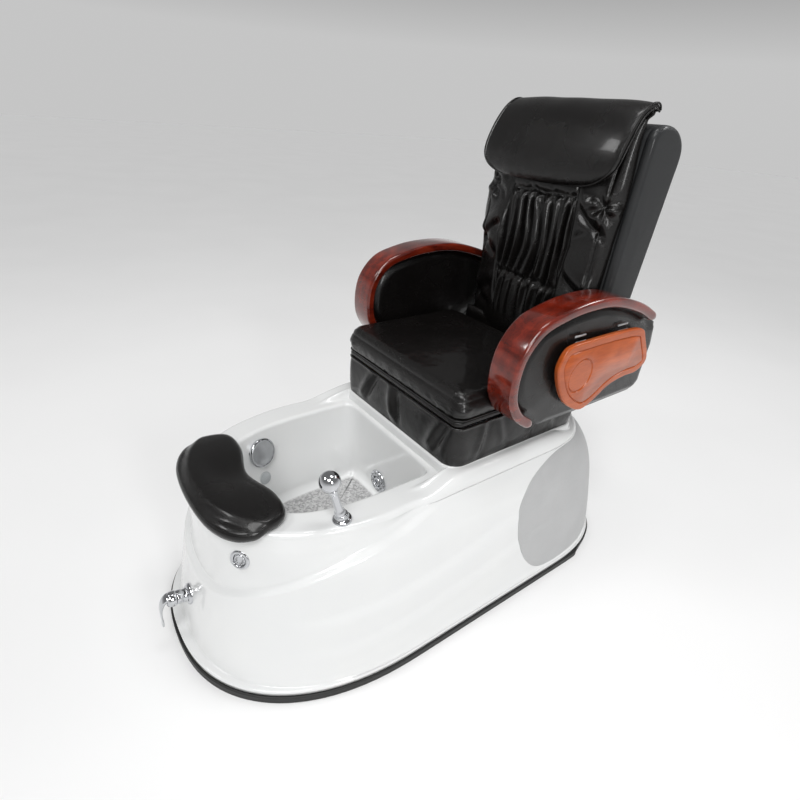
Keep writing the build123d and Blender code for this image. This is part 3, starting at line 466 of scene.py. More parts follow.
MAHOGANY = ((0.070, 0.0050, 0.0018), (0.150, 0.012, 0.0040), (0.24, 0.024, 0.0080))
TRAY_WOOD = ((0.39, 0.070, 0.011), (0.47, 0.091, 0.015), (0.54, 0.115, 0.022))
PLYWOOD = ((0.35, 0.22, 0.11), (0.50, 0.34, 0.18), (0.62, 0.45, 0.27))
MATERIALS = {
    "gelcoat_white": gelcoat(),
    # painted shade: the grey of the sheets on the rear flanks stands for shade on the white hull
    "panel_grey": painted_shade_grey(),
    "rubber_black": moulded("rubber_black", grey(0.005), 0.5, grain=300.0),
    "leather_black": leather("leather_black", (0.0042, 0.0036, 0.0034), 0.26),
    "shell_black": leather("shell_black", (0.014, 0.015, 0.016), 0.52, grain=520.0, crease=0.0002),
    "wood_mahogany": wood("wood_mahogany", *MAHOGANY, roughness=0.20, coat=1.0),
    "wood_tray": wood("wood_tray", *TRAY_WOOD, roughness=0.28, figure_share=0.45, coat=0.35),
    "plywood": wood("plywood", *PLYWOOD, roughness=0.7),
    "chrome": metal("chrome", (0.58, 0.59, 0.61), 0.07),
    "steel_painted": moulded("steel_painted", grey(0.02), 0.42, metallic=0.3),
    "steel_bare": metal("steel_bare", (0.55, 0.56, 0.57), 0.3, brushed=True),
    "plastic_black": moulded("plastic_black", grey(0.02), 0.45),
    "plastic_white": moulded("plastic_white", grey(0.75), 0.4),
    "plastic_clear": moulded("plastic_clear", (0.42, 0.44, 0.45), 0.2),
    "rubber_roller": moulded("rubber_roller", (0.16, 0.13, 0.11), 0.6),
}
for entry in frame["record"]["subparts"]:
    target = NODES[entry["node"]]
    target.data.materials.clear()
    target.data.materials.append(MATERIALS[entry["material_slot"]])


# ---- hull
NOSE_STEPS, SIDE_STEPS, TAIL_STEPS = 150, 44, 110


def power_cap(steps, half_width, length, power, way):
    """Half a superellipse, from +X to -X."""
    turn = np.linspace(0, math.pi, steps)
    x = squarish(np.cos(turn), 2 / power) * half_width
    y = way * length * np.maximum(np.sin(turn), 0.0) ** (2 / power)
    return np.column_stack([x, y])


def hull_ring(half_width, front, rear):
    """Plan outline, from the +X end of the nose round the front, the -X flank, the tail and back."""
    nose, tail = NOSE_SHARE * (DATUM_Y - front), TAIL_SHARE * (rear - DATUM_Y)
    fore = power_cap(NOSE_STEPS, half_width, nose, NOSE_POWER, -1) + (0, front + nose)
    aft = power_cap(TAIL_STEPS, half_width, tail, TAIL_POWER, 1)[::-1] + (0, rear - tail)
    share = np.linspace(0, 1, SIDE_STEPS + 2)[1:-1, None]
    right = fore[-1] * (1 - share) + aft[0] * share
    left = aft[-1] * (1 - share) + fore[0] * share
    return np.vstack([fore, right, aft, left])


def hull_ring_at(z):
    """Plan outline of the hull at a height."""
    return hull_ring(*(float(curve_at(z, HEIGHTS, values)) for values in (HALF_WIDTHS, FRONTS, REARS)))


HULL_Z = np.linspace(HEIGHTS[0], HEIGHTS[-1], 120)
HULL_TABLE = np.array([hull_ring_at(z) for z in HULL_Z])


def hull_points(z):
    """Plan point of every ring position at its own height z."""
    at = np.interp(z, HULL_Z, np.arange(len(HULL_Z)))
    low = np.clip(at.astype(int), 0, len(HULL_Z) - 2)
    share = (at - low)[:, None]
    column = np.arange(HULL_TABLE.shape[1])
    return HULL_TABLE[low, column] * (1 - share) + HULL_TABLE[low + 1, column] * share


def ledge_height(y):
    """Height of the collar's ledge along the hull: low at the nose, rising to the deck by the seat."""
    return curve_at(
        y,
        (-0.66, -0.634, -0.584, -0.50, -0.43, -0.362, -0.254, -0.159, -0.10),
        (0.226, 0.245, 0.280, 0.322, 0.350, 0.371, 0.392, 0.414, 0.424),
    )


LEDGE_DEPTH = 0.015


def ledge_depth(y):
    """How far the skin steps in at the ledge."""
    return LEDGE_DEPTH * (1 - smooth(y, -0.22, -0.11))


def flank_swell(y, z):
    """Two long soft shoulders on the flanks, where the skin below each line stands a little proud."""
    upper = curve_at(y, (-0.45, -0.278, -0.093, 0.069, 0.2, 0.42), (0.215, 0.234, 0.250, 0.281, 0.305, 0.345))
    lower = curve_at(y, (-0.42, -0.2, 0.0, 0.2, 0.45), (0.125, 0.145, 0.165, 0.195, 0.225))
    fade = smooth(y, -0.56, -0.36) * (1 - smooth(y, 0.30, 0.52))
    rise = 0.0055 * (1 - smooth(z, upper - 0.006, upper + 0.022)) * smooth(z, lower - 0.05, upper - 0.01)
    return fade * (rise + 0.0035 * (1 - smooth(z, lower - 0.008, lower + 0.022)) * smooth(z, 0.03, lower))


def hull_skin(z, proud=0.0):
    """Hull points at heights z for every ring position, with the ledge and the flank shoulders."""
    plan = hull_points(z)
    y = plan[:, 1]
    ledge = ledge_height(y)
    step = ledge_depth(y) * smooth(z, ledge - 0.003, ledge + 0.009) * (1 - smooth(z, ledge + 0.02, DECK_Z))
    outward = flank_swell(y, z) - step + proud
    return raised(plan + normals_2d(plan) * outward[:, None], z)


def blob(ring, middle_y, half_width, front, rear, front_power, rear_power):
    """Closed outline met by the rays from the basin's middle through ring; round ahead, square behind."""
    centre = np.array([0.0, BASIN_MID_Y])
    ray = ring - centre
    ray = ray / np.linalg.norm(ray, axis=1)[:, None]
    low, high = np.zeros(len(ring)), np.full(len(ring), 0.8)
    for _ in range(40):
        mid = (low + high) / 2
        p = centre + ray * mid[:, None]
        ahead = p[:, 1] < middle_y
        reach = np.where(ahead, (middle_y - p[:, 1]) / (middle_y - front), (p[:, 1] - middle_y) / (rear - middle_y))
        power = np.where(ahead, front_power, rear_power)
        outside = np.abs(p[:, 0] / half_width) ** power + np.abs(reach) ** power > 1
        high, low = np.where(outside, mid, high), np.where(outside, low, mid)
    return centre + ray * low[:, None]


def make_hull():
    """One moulded skin: flange, flanks, ledge, collar, deck, basin wall and basin floor."""
    rings = []
    flange = hull_ring(*FLANGE)
    out = normals_2d(flange)
    for z, grow in ((0.0202, -0.004), (0.0202, 0.0), (0.0300, 0.0), (0.0328, -0.0012), (0.0340, -0.0040)):
        rings.append(raised(flange + out * grow, z))
    foot_ring = hull_skin(np.full(len(flange), 0.0345))[:, :2]
    for grow, z in ((0.0045, 0.0343), (0.0018, 0.0355), (0.0004, 0.0385)):
        rings.append(raised(foot_ring + out * grow, z))
    ledge = ledge_height(hull_points(np.full(len(flange), 0.3))[:, 1])
    for share in np.linspace(0, 1, 34)[1:]:
        rings.append(hull_skin(0.0385 + (ledge - 0.008 - 0.0385) * share))
    for share in np.linspace(0, 1, 12)[1:]:
        rings.append(hull_skin(ledge - 0.008 + 0.024 * share))
    shoulder = DECK_Z - 0.013
    for share in np.linspace(0, 1, 18)[1:]:
        rings.append(hull_skin((ledge + 0.016) * (1 - share) + shoulder * share))
    edge = rings[-1][:, :2]
    out = normals_2d(edge)
    beside = smooth(edge[:, 1], -0.17, -0.02) * (1 - smooth(edge[:, 1], 0.34, 0.46))
    lift = 0.0275 * beside
    for turn in np.linspace(0, math.pi / 2, 13)[1:]:
        rise, inset = (0.013 + lift) * math.sin(turn), (0.015 + 0.012 * beside) * (1 - math.cos(turn))
        rings.append(raised(edge - out * inset[:, None], shoulder + rise))
    deck = rings[-1][:, :2]
    rim = blob(edge, -0.17, 0.207, -0.512, -0.066, 3.0, 10.0)
    rim_out = rim + normals_2d(rim) * 0.011
    inner = normals_2d(deck)
    for inset in (0.004, 0.009, 0.014, 0.020, 0.026):
        rings.append(raised(deck - inner * inset, DECK_Z + lift))
    deck = rings[-1][:, :2]
    for share in np.linspace(0, 1, 14)[1:]:
        height = DECK_Z + lift * (1 - smooth(share, 0.15, 0.6))
        rings.append(raised(deck * (1 - share) + rim_out * share, height))
    for turn in np.linspace(0, math.pi / 2, 6)[1:]:
        inset, drop = 0.011 * math.sin(turn), 0.011 * (1 - math.cos(turn))
        rings.append(raised(rim_out + (rim - rim_out) * inset / 0.011, DECK_Z - drop))
    base = blob(edge, -0.20, 0.160, -0.455, BASIN_REAR_Y, 3.2, 9.0)
    top_z, low_z = DECK_Z - 0.011, FLOOR_Z + 0.0320
    for share in np.linspace(0, 1, 20)[1:]:
        bulge = share - 0.035 * math.sin(math.pi * share)
        rings.append(raised(rim * (1 - bulge) + base * bulge, top_z + (low_z - top_z) * share))
    inward = -normals_2d(base)
    floor_z = FLOOR_Z + 0.0012
    for turn in np.linspace(0, math.pi / 2, 9)[1:]:
        inset, drop = 0.030 * (1 - math.cos(turn)), (low_z - floor_z) * math.sin(turn)
        rings.append(raised(base + inward * inset, low_z - drop))
    floor = rings[-1][:, :2]
    drain_low, drain_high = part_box("drain_strainer")
    drain = np.array([0.0, (drain_low.y + drain_high.y) / 2])
    ray = floor - drain
    hole = drain + ray / np.linalg.norm(ray, axis=1)[:, None] * 0.026
    for share in np.linspace(0, 1, 16)[1:]:
        rings.append(raised(floor * (1 - share) + hole * share, floor_z))
    rings.append(raised(hole, FLOOR_Z - 0.02))
    loft("spa_base_moulding", rings, "gelcoat_white", "base", ("hull_shell", "basin_deck"), (False, False))


# ---- grey flank sheets: painted shade on the rear flanks
def flank_x(y, z, proud=0.0):
    """Half width of the hull at a place on the flank, moved outwards along the skin's plan normal."""
    y, z = np.asarray(y, float), np.asarray(z, float)

    def plain(y):
        wide, front, rear = curve_at(z, HEIGHTS, HALF_WIDTHS), curve_at(z, HEIGHTS, FRONTS), curve_at(z, HEIGHTS, REARS)
        nose, tail = NOSE_SHARE * (DATUM_Y - front), TAIL_SHARE * (rear - DATUM_Y)
        ahead, behind = (front + nose - y) / nose, (y - rear + tail) / tail
        share = np.clip(np.maximum(ahead, behind), 0.0, 0.999)
        power = np.where(ahead > behind, NOSE_POWER, TAIL_POWER)
        return wide * (1 - share**power) ** (1 / power)

    slope = (plain(y + 0.001) - plain(y - 0.001)) / 0.002
    return plain(y) + (flank_swell(y, z) + proud) * np.sqrt(1 + slope**2)


def make_painted_flank_shade():
    """Grey sheets that follow the flanks, a little proud of them, painting the shade that falls on the rear flanks."""
    outline = [
        (0.560, 0.420), (0.440, 0.428), (0.313, 0.424), (0.188, 0.374), (0.149, 0.284), (0.185, 0.150),
        (0.272, 0.054), (0.420, 0.044), (0.570, 0.070), (0.640, 0.200), (0.630, 0.330),
    ]
    ring = closed_curve(outline, 220)
    centre = ring.mean(axis=0)
    for side, way in SIDES.items():
        rings = []
        for share, proud in ((1.0, -0.002), (1.0, 0.0008), (0.996, 0.0014), (0.99, 0.0016)):
            p = centre + (ring - centre) * share
            rings.append((p, proud))
        for share in np.linspace(0.99, 0.02, 40)[1:]:
            rings.append((centre + (ring - centre) * share, 0.0016))
        skins = [upright(way * flank_x(p[:, 0], p[:, 1], d), p) for p, d in rings]
        node_name = f"side_panel_{side}"
        # grey sheet on the rear flank: painted shade, not a grey part
        loft(f"flank_painted_shade_{side}", skins, "panel_grey", "base", (node_name,), (False, True))


# ---- rounded boxes
def rounded_rect(centre_y, half_x, half_y, front, count, rear=None):
    """Evenly spaced plan outline about x = 0 with its front and rear corner radii, from the front middle."""
    points = []
    for sx, sy, start in ((1, -1, -90), (1, 1, 0), (-1, 1, 90), (-1, -1, 180)):
        radius = rear if rear and sy > 0 else front
        for step in range(13):
            turn = math.radians(start + 90 * step / 12)
            x, y = sx * (half_x - radius) + radius * math.cos(turn), sy * (half_y - radius) + radius * math.sin(turn)
            points.append((x, y))
    points = [(0.0, -half_y)] + points
    return even(points, count, closed=True) + (0, centre_y)


FRONT_CORNER, REAR_CORNER = 0.040, 0.060


def make_kerb():
    """Moulded kerb of the base that the apron stands on, with a fillet at its foot."""
    low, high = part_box("plinth_boards")
    middle, half_x, half_y = (low.y + high.y) / 2, high.x, (high.y - low.y) / 2
    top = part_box("apron_cover")[0].z
    rings = []
    for grow, z in (
        (0.026, DECK_Z - 0.004), (0.020, DECK_Z - 0.0008), (0.0150, DECK_Z + 0.0030), (0.0122, DECK_Z + 0.0080),
        (0.0108, top - 0.006), (0.0100, top - 0.0018), (0.0075, top + 0.0002), (0.0010, top + 0.0002),
    ):
        ring = rounded_rect(middle, half_x + grow, half_y + grow, FRONT_CORNER + grow, 480, rear=REAR_CORNER + grow)
        ring[:, 1] = np.maximum(ring[:, 1], low.y - min(grow, 0.0112))
        rings.append(raised(ring, z))
    loft("seat_kerb", rings, "gelcoat_white", "base", caps=(False, False))


# the apron's folds: x at the bottom, x at the top, height share; y at the bottom, lean, size
FRONT_FOLDS = ((-0.172, -0.118, 0.60), (0.006, -0.024, 0.50), (0.152, 0.198, 0.55))
SIDE_FOLDS = ((0.02, 0.03, 1.0), (0.13, -0.03, 0.7), (0.22, 0.04, 1.0), (0.33, -0.02, 0.8), (0.42, 0.02, 0.7))


def make_apron():
    """Wrinkled leather skirt between the kerb and the seat board, gathered into a few pinched folds."""
    low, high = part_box("apron_cover")
    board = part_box("seat_board")[0].z
    middle, half_x, half_y = (low.y + high.y) / 2, high.x, (high.y - low.y) / 2
    count, levels = 720, 46
    thick = half_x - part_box("plinth_boards")[1].x
    rings = []
    for level in range(levels):
        t = level / (levels - 1)
        z = low.z + 0.0006 + (board - 0.003 - low.z) * t
        front_corner = FRONT_CORNER + thick - 0.016 * float(smooth(t, 0.35, 1.0))
        ring = rounded_rect(middle, half_x, half_y, front_corner, count, rear=REAR_CORNER + thick)
        out = normals_2d(ring)
        billow = 0.0035 * math.sin(math.pi * min(1.0, t * 1.1)) ** 0.8 - 0.004 * t**3
        wave = np.zeros(count)
        front, side = ring[:, 1] < low.y + 0.01, np.abs(ring[:, 0]) > half_x - 0.004
        for bottom, top, height in FRONT_FOLDS:
            at = bottom + (top - bottom) * t
            strength = 0.0085 * smooth(t, 0.0, 0.35) * (1 - 0.45 * smooth(t, height, 1.0))
            wave += np.where(front, strength * hill(ring[:, 0], at, 0.017), 0)
            wave -= np.where(front, 0.7 * strength * hill(ring[:, 0], at + 0.027, 0.012), 0)
        for bottom, lean, size in SIDE_FOLDS:
            at = bottom + lean * t
            wave += np.where(side, 0.0042 * size * smooth(t, 0.05, 0.4) * hill(ring[:, 1], at, 0.012), 0)
            wave -= np.where(side, 0.0022 * size * hill(ring[:, 1], at + 0.022, 0.014), 0)
        place = raised(ring, z)
        slack = 0.0022 * ripples(place * (1, 1, 1.6), 13.0, 4.0) + 0.0004 * ripples(place * (1, 1, 0.8), 60.0, 9.0)
        hem = 1 - smooth(t, 0.0, 0.06) * (1 - smooth(t, 0.94, 1.0))
        outward = (billow + wave + slack) * (1 - 0.75 * hem) + 0.0012
        rings.append(raised(ring + out * outward[:, None], z))
    rings.append(raised(ring - out * 0.006, board - 0.0015))
    loft("seat_apron", rings, "leather_black", "base", ("apron_cover",), (False, False))


def crowned_box(node_name, radius, edge, crown, puff, grow=0.0, levels=26):
    """Rings of a stuffed box: plan corners rounded, walls that swell, a soft top edge and a crowned top."""
    low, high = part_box(node_name)
    middle, half_x, half_y = (low.y + high.y) / 2, high.x + grow, (high.y - low.y) / 2 + grow
    bottom, top = low.z, high.z - crown

    def ring_at(inset, z):
        return raised(rounded_rect(middle, half_x - inset, half_y - inset, max(radius - inset * 0.6, 0.006), 420), z)

    rings = [ring_at(0.020, bottom), ring_at(0.006, bottom), ring_at(0.0015, bottom + 0.002)]
    for level in range(levels):
        t = level / (levels - 1)
        rings.append(ring_at(-puff * math.sin(math.pi * t) ** 0.8, bottom + 0.004 + (top - edge - bottom - 0.004) * t))
    for turn in np.linspace(0, math.pi / 2, 14)[1:]:
        rings.append(ring_at(edge * (1 - math.cos(turn)), top - edge + edge * math.sin(turn)))
    reach = min(half_x, half_y) - edge
    for share in np.linspace(0, 1, 44)[1:-1]:
        inset = edge + reach * share
        rings.append(ring_at(inset, top + crown * math.sin(math.pi / 2 * min(1.0, share * 1.35)) ** 0.9))
    return rings, middle, half_x, half_y


def make_seat():
    """Wrapped seat board and crowned cushion with two piped seams."""
    board_rings, _, _, _ = crowned_box("seat_board", 0.020, 0.006, 0.0, 0.0006, levels=5)
    loft("seat_board_wrap", board_rings, "leather_black", "seat", ("seat_board",))
    rings, middle, half_x, half_y = crowned_box("seat_cushion", 0.030, 0.022, 0.004, 0.0085, grow=0.002)
    bottom, top = rings[0][0][2], rings[-1][0][2]
    for ring in rings:
        for k, (x, y, z) in enumerate(ring):
            height = (z - bottom) / (top - bottom)
            across, along = x / half_x, (y - middle) / half_y
            corner = max(0.0, abs(across) + abs(along) - 1.55) / 0.45
            pull = 0.0045 * corner * ripple(x * 1.4, y, z * 2.4, 34.0, 2.0)
            soft = 0.0016 * ripple(x, y, z * 1.5, 11.0, 6.0)
            edge = min(1.0, 8 * (1 - max(abs(across), abs(along))))
            dimple = 0.0012 * ripple(x, y, z, 46.0, 8.0) * (1 - 0.6 * edge)
            if height > 0.45:
                ring[k][2] = z + (pull + soft + dimple) * smooth(height, 0.45, 0.9)
            else:
                push = (pull * 0.8 + dimple * 1.5) * math.sin(math.pi * min(1.0, height / 0.5))
                ring[k][0], ring[k][1] = x + push * across, y + push * along
    pad = loft("seat_cushion_pad", rings, "leather_black", "seat", ("seat_cushion",))
    low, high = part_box("seat_cushion")
    for level, z, grow, radius in (("low", low.z + 0.0035, 0.0035, 0.0024), ("high", high.z - 0.0090, -0.0095, 0.0019)):
        line = rounded_rect(middle, half_x + grow - 0.001, half_y + grow - 0.001, 0.027, 260)
        tube(f"seat_piping_{level}", raised(line, z), radius, "leather_black", "seat", closed=True)


# ---- arms
BAND_LINE = (
    (0.121, 0.587), (0.060, 0.632), (0.025, 0.697), (0.033, 0.800), (0.086, 0.864),
    (0.166, 0.891), (0.258, 0.903), (0.364, 0.900), (0.498, 0.866), (0.590, 0.824),
)
BAND_THICK = 0.026
PANEL_REAR = ((0.628, 0.790), (0.641, 0.730), (0.634, 0.600), (0.606, 0.571), (0.311, 0.570), (0.180, 0.572))


def band_lines(count):
    """Outer edge, inner edge and inward normal of the bent-wood band."""
    outer = open_curve(BAND_LINE, count)
    along = headings(outer)
    inward = np.column_stack([along[:, 1], -along[:, 0]])
    return outer, outer + inward * BAND_THICK, inward


def make_arm_bands():
    """Bent-wood band with softly rounded edges and slightly domed faces."""
    count = 200
    outer, inner, inward = band_lines(count)
    low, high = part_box("arm_band_left")
    for side, way in SIDES.items():
        rings = []
        for i in range(count):
            end = min(i, count - 1 - i)
            shrink = 1.0 if end > 4 else math.sqrt(1 - ((5 - end) / 5.4) ** 2)
            middle_x, half_x = (low.x + high.x) / 2, (high.x - low.x) / 2 * (0.85 + 0.15 * shrink)
            half_t = BAND_THICK / 2 * shrink
            centre = (outer[i] + inner[i]) / 2
            ring = []
            for sx, st, start in ((1, 1, 0), (-1, 1, 90), (-1, -1, 180), (1, -1, 270)):
                radius = min(0.0085, half_t * 0.9)
                for step in range(7):
                    turn = math.radians(start + 90 * step / 6)
                    x = middle_x + sx * (half_x - radius) + radius * math.cos(turn)
                    depth = st * (half_t - radius) + radius * math.sin(turn)
                    yz = centre - inward[i] * depth
                    ring.append((way * x, yz[0], yz[1]))
            rings.append(np.array(ring))
        loft(f"arm_bentwood_{side}", rings, "wood_mahogany", "seat", (f"arm_band_{side}",))


def panel_outline(count):
    """Closed (y, z) outline of an arm's upholstered side."""
    outer, inner, _ = band_lines(200)
    return even(np.vstack([inner, PANEL_REAR]), count, closed=True)


def distance_to(points, ring):
    """Least distance from each point to a closed ring's segments."""
    a, b = ring, np.roll(ring, -1, axis=0)
    d = b - a
    t = np.clip(np.einsum("nmk,mk->nm", points[:, None] - a[None], d) / np.maximum(np.sum(d * d, axis=1), 1e-12), 0, 1)
    return np.min(np.linalg.norm(points[:, None] - (a + t[..., None] * d), axis=2), axis=1)


def make_arm_panels():
    """Upholstered arm sides: padded on both faces, drawn down to a stitched edge along the wood."""
    ring = softened(panel_outline(300), 3)
    centre = np.array([0.345, 0.735])
    low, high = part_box("arm_panel_left")
    shares = np.concatenate([[1.0, 0.995, 0.985, 0.97, 0.95], np.linspace(0.93, 0.01, 34)])
    for side, way in SIDES.items():
        rings = []
        for face in (-1, 1):
            stack = []
            for share in shares:
                p = centre + (ring - centre) * share
                depth = distance_to(p, ring)
                rise = 0.0150 * (1 - smooth(depth, 0.0, 0.026)) ** 1.4 + 0.0022 * (1 - smooth(depth, 0.02, 0.09))
                stitch = 0.0022 * hill(depth, 0.0175, 0.0028)
                place = upright(face * 0.3, p)
                soft = 0.0014 * ripples(place, 14.0, 3.0)
                flat = high.x - 0.0002 if face > 0 else low.x + 0.0008
                x = flat - face * (rise + stitch - soft * smooth(depth, 0, 0.03))
                stack.append(upright(way * x, p))
            rings += stack if face < 0 else stack[::-1]
        half = len(rings) // 2
        ordered = rings[:half][::-1] + rings[half:][::-1]
        obj = loft(f"arm_pad_{side}", ordered, "leather_black", "seat", (f"arm_panel_{side}",))


# ---- trays
TRAY_LINE = (
    (0.159, 0.740), (0.160, 0.775), (0.186, 0.806), (0.268, 0.811), (0.400, 0.811), (0.492, 0.803), (0.524, 0.771),
    (0.566, 0.700), (0.530, 0.668), (0.468, 0.666), (0.400, 0.654), (0.343, 0.622), (0.291, 0.608), (0.230, 0.638),
    (0.190, 0.680),
)
CUP = (0.254, 0.718)
# the routed channel as (inset, depth) and the cup recess as (radius, depth)
CHANNEL = (
    (0.0185, 0.0), (0.0191, -0.0008), (0.0200, -0.0030), (0.0213, -0.0034), (0.0225, -0.0026), (0.0234, -0.0008),
    (0.0241, 0.0),
)
CUP_STEPS = (
    (0.0475, 0.0), (0.0469, -0.0010), (0.0459, -0.0030), (0.0445, -0.0034), (0.0433, -0.0022), (0.0425, -0.0012),
    (0.0120, -0.0010),
)
ROUND_OVER, BACK_ROUND = 0.0045, 0.003


def inset_ring(ring, inset, soften):
    """A closed ring moved inwards and softened."""
    return softened(ring - normals_2d(ring) * inset, soften)


def make_trays():
    """Wooden tray: rounded rim, a routed channel inside the rim and a round cup recess."""
    low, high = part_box("tray_left")
    back, face = low.x, high.x
    edge = closed_curve(TRAY_LINE, 260)
    turn = np.linspace(0, 2 * math.pi, 120, endpoint=False)
    loops = [(inset_ring(edge, ROUND_OVER, 1), 0.0)]
    for inset, depth in CHANNEL:
        loops.append((even(inset_ring(edge, inset, 14), 230, closed=True), depth))
    for radius, depth in CUP_STEPS:
        loops.append((np.column_stack([CUP[0] + radius * np.cos(turn), CUP[1] + radius * np.sin(turn)]), depth))
    points, edges, heights = [], [], []
    for ring, depth in loops:
        start = len(points)
        points += [Vector(p) for p in ring]
        heights += [depth] * len(ring)
        edges += [(start + k, start + (k + 1) % len(ring)) for k in range(len(ring))]
    out_points, _, faces, source, _, _ = delaunay_2d_cdt(points, edges, [list(range(len(loops[0][0])))], 1, 1e-7)
    depth_at = [heights[s[0]] if s else 0.0 for s in source]
    for side, way in SIDES.items():
        verts = [(way * (face + d), p[0], p[1]) for p, d in zip(out_points, depth_at)]
        made = list(faces)
        rings = []
        for angle in np.linspace(math.pi / 2, 0, 8):
            inset, drop = ROUND_OVER * (1 - math.cos(angle)), ROUND_OVER * (1 - math.sin(angle))
            rings.append((inset_ring(edge, inset, 1), face - drop))
        for angle in np.linspace(0, math.pi / 2, 6):
            inset, lift = BACK_ROUND * (1 - math.cos(angle)), BACK_ROUND * (1 - math.sin(angle))
            rings.append((inset_ring(edge, inset, 1), back + lift))
        start = len(verts)
        for ring, x in rings:
            verts += [(way * x, p[0], p[1]) for p in ring]
        made += ring_faces(len(rings), len(edge), start)
        verts.append((way * back, 0.36, 0.72))
        last = start + (len(rings) - 1) * len(edge)
        made += [(last + k, last + (k + 1) % len(edge), len(verts) - 1) for k in range(len(edge))]
        obj = piece(f"tray_board_{side}", verts, made, "wood_tray", f"tray_{side}", (f"tray_{side}",))
        obj.data.set_sharp_from_angle(angle=math.radians(50))


# ---- backrest
def back_front(z):
    """Y of the shell's front edge at a height."""
    return 0.458 + 0.04 * (np.asarray(z, float) - 0.655)


def make_back_shell():
    """Padded back housing: one soft outline drawn across, with wide rounded side edges and a piped seam each side."""
    half_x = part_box("back_shell")[1].x
    corners = [(0.4595, 0.657), (0.4650, 0.80), (0.4715, 0.96), (0.4775, 1.11), (0.4822, 1.225)]
    corners += [(0.4890, 1.258), (0.5080, 1.276), (0.5400, 1.281), (0.5780, 1.277), (0.6080, 1.263), (0.6300, 1.240)]
    corners += [(0.6385, 1.208), (0.6310, 1.130), (0.6190, 1.010), (0.6040, 0.860), (0.5890, 0.725)]
    corners += [(0.5780, 0.690), (0.5580, 0.664), (0.5300, 0.6565), (0.4950, 0.6562)]
    ring = softened(closed_curve(corners, 340), 4)
    edge = 0.016
    rings = []
    centre = ring.mean(axis=0)

    def add(inset, x, share=1.0):
        p = inset_ring(ring, inset, 2)
        p = centre + (p - centre) * share
        place = upright(x, p)
        soft = 0.0012 * ripples(place, 7.0, 2.0) + 0.0004 * ripples(place, 30.0, 3.0)
        rings.append(upright(x, p + normals_2d(p) * soft[:, None]))

    for way in (-1, 1):
        side = []
        for share in np.linspace(0.04, 1.0, 16):
            side.append((edge, half_x + 0.0015 * (1 - share), share))
        for turn in np.linspace(0, math.pi / 2, 9)[1:]:
            side.append((edge * (1 - math.sin(turn)), half_x - edge * (1 - math.cos(turn)), 1.0))
        for inset, x in ((0.0, 0.2300), (0.0018, 0.2275), (0.0018, 0.2255), (0.0, 0.2230)):
            side.append((inset, x, 1.0))
        for x in np.linspace(0.215, 0.01, 14):
            side.append((0.0, x, 1.0))
        if way > 0:
            side = side[::-1]
        for inset, x, share in side:
            add(inset, way * x, share)
    obj = loft("back_housing", rings, "shell_black", "backrest", ("back_shell",))


COVER_FRONT = (
    (0.660, 0.402), (0.800, 0.398), (0.980, 0.400), (1.128, 0.412), (1.200, 0.424), (1.264, 0.444), (1.300, 0.470),
    (1.326, 0.499),
)
GATHER_HIGH, GATHER_LOW = 1.098, 0.850
SIDE_DENTS = (
    (1.070, -0.060, 0.0120, 0.013), (0.985, 0.055, 0.0100, 0.017), (0.890, -0.050, 0.0115, 0.016),
    (0.795, 0.045, 0.0085, 0.019), (0.735, -0.030, 0.0060, 0.014),
)


def side_dents(across, z, way):
    """Broad slanting dents in a side panel: height at the inner seam, rise to the edge, depth and width of each."""
    made = 0.0
    for index, (start, rise, depth, wide) in enumerate(SIDE_DENTS):
        line = start + rise * way * (across - 0.13) / 0.09 + 0.012 * ripple(across, 0, 0, 22.0, index + way)
        grow = 0.75 + 0.7 * ripple(across, 0, z, 6.0, 3.0 * index + way)
        made += grow * depth * (0.55 * hill(z, line + 2.0 * wide, 1.5 * wide) - hill(z, line, wide))
    return made


def cover_folds(x, z):
    """How far the cover stands out of its smooth form: gathered centre, seams, elastic bands and side dents."""
    high, low = GATHER_HIGH + 0.008 * ripple(x, 0, 0, 22.0, 1.0), GATHER_LOW + 0.010 * ripple(x, 0, 0, 20.0, 5.0)
    middle = 1 - abs((z - (high + low) / 2) / ((high - low) / 2))
    panel = 0.116 + 0.010 * max(middle, -1.0)
    u = x / panel
    wander = 0.35 * ripple(0.3, 0, z, 4.0, 3.0) + 0.95 * ripple(x, 0, z * 0.55, 9.0, 7.0)
    phase = math.pi * (3.9 * u + wander)
    pleat = 2.0 * ((1 + math.cos(2 * phase)) / 2) ** 1.35 - 1.0
    inside = 1 - float(smooth(abs(u), 0.93, 1.05))
    between = float(smooth(z, low - 0.002, low + 0.030) * (1 - smooth(z, high - 0.030, high + 0.002)))
    below = float((1 - smooth(z, low - 0.03, low - 0.002)) * smooth(z, 0.70, 0.80))
    vary = 0.90 + 0.80 * ripple(x * 2.2, 0, z * 0.4, 14.0, 11.0)
    folds = inside * (between * 0.0105 * pleat * vary + below * 0.0060 * pleat * vary)
    bands = hill(z, high, 0.009) + hill(z, low, 0.012)
    scrunch = inside * bands * (-0.0065 + 0.0045 * ripple(x, 0, z * 0.8, 70.0, 2.0) + 0.0020 * pleat)
    seam = -0.0080 * hill(abs(x), panel, 0.0050) * float(smooth(z, 0.74, 0.80))
    outer = float(smooth(abs(x), 0.122, 0.145) * (1 - smooth(abs(x), 0.205, 0.222)))
    crease = side_dents(abs(x), z, 1 if x > 0 else -1) * outer
    star, turn = math.hypot(abs(x) - 0.194, z - 1.085), math.atan2(z - 1.085, abs(x) - 0.194)
    pinch = -0.0100 * hill(star, 0.0, 0.013) + 0.0060 * math.cos(4 * turn + 0.8) * hill(star, 0.026, 0.016)
    edge_seam = -0.0048 * hill(abs(x), 0.200, 0.0040) * float(1 - smooth(z, 1.20, 1.26))
    return folds + scrunch + seam + crease + pinch + edge_seam + 0.0035 * ripple(x, 0, z, 6.0, 4.0)


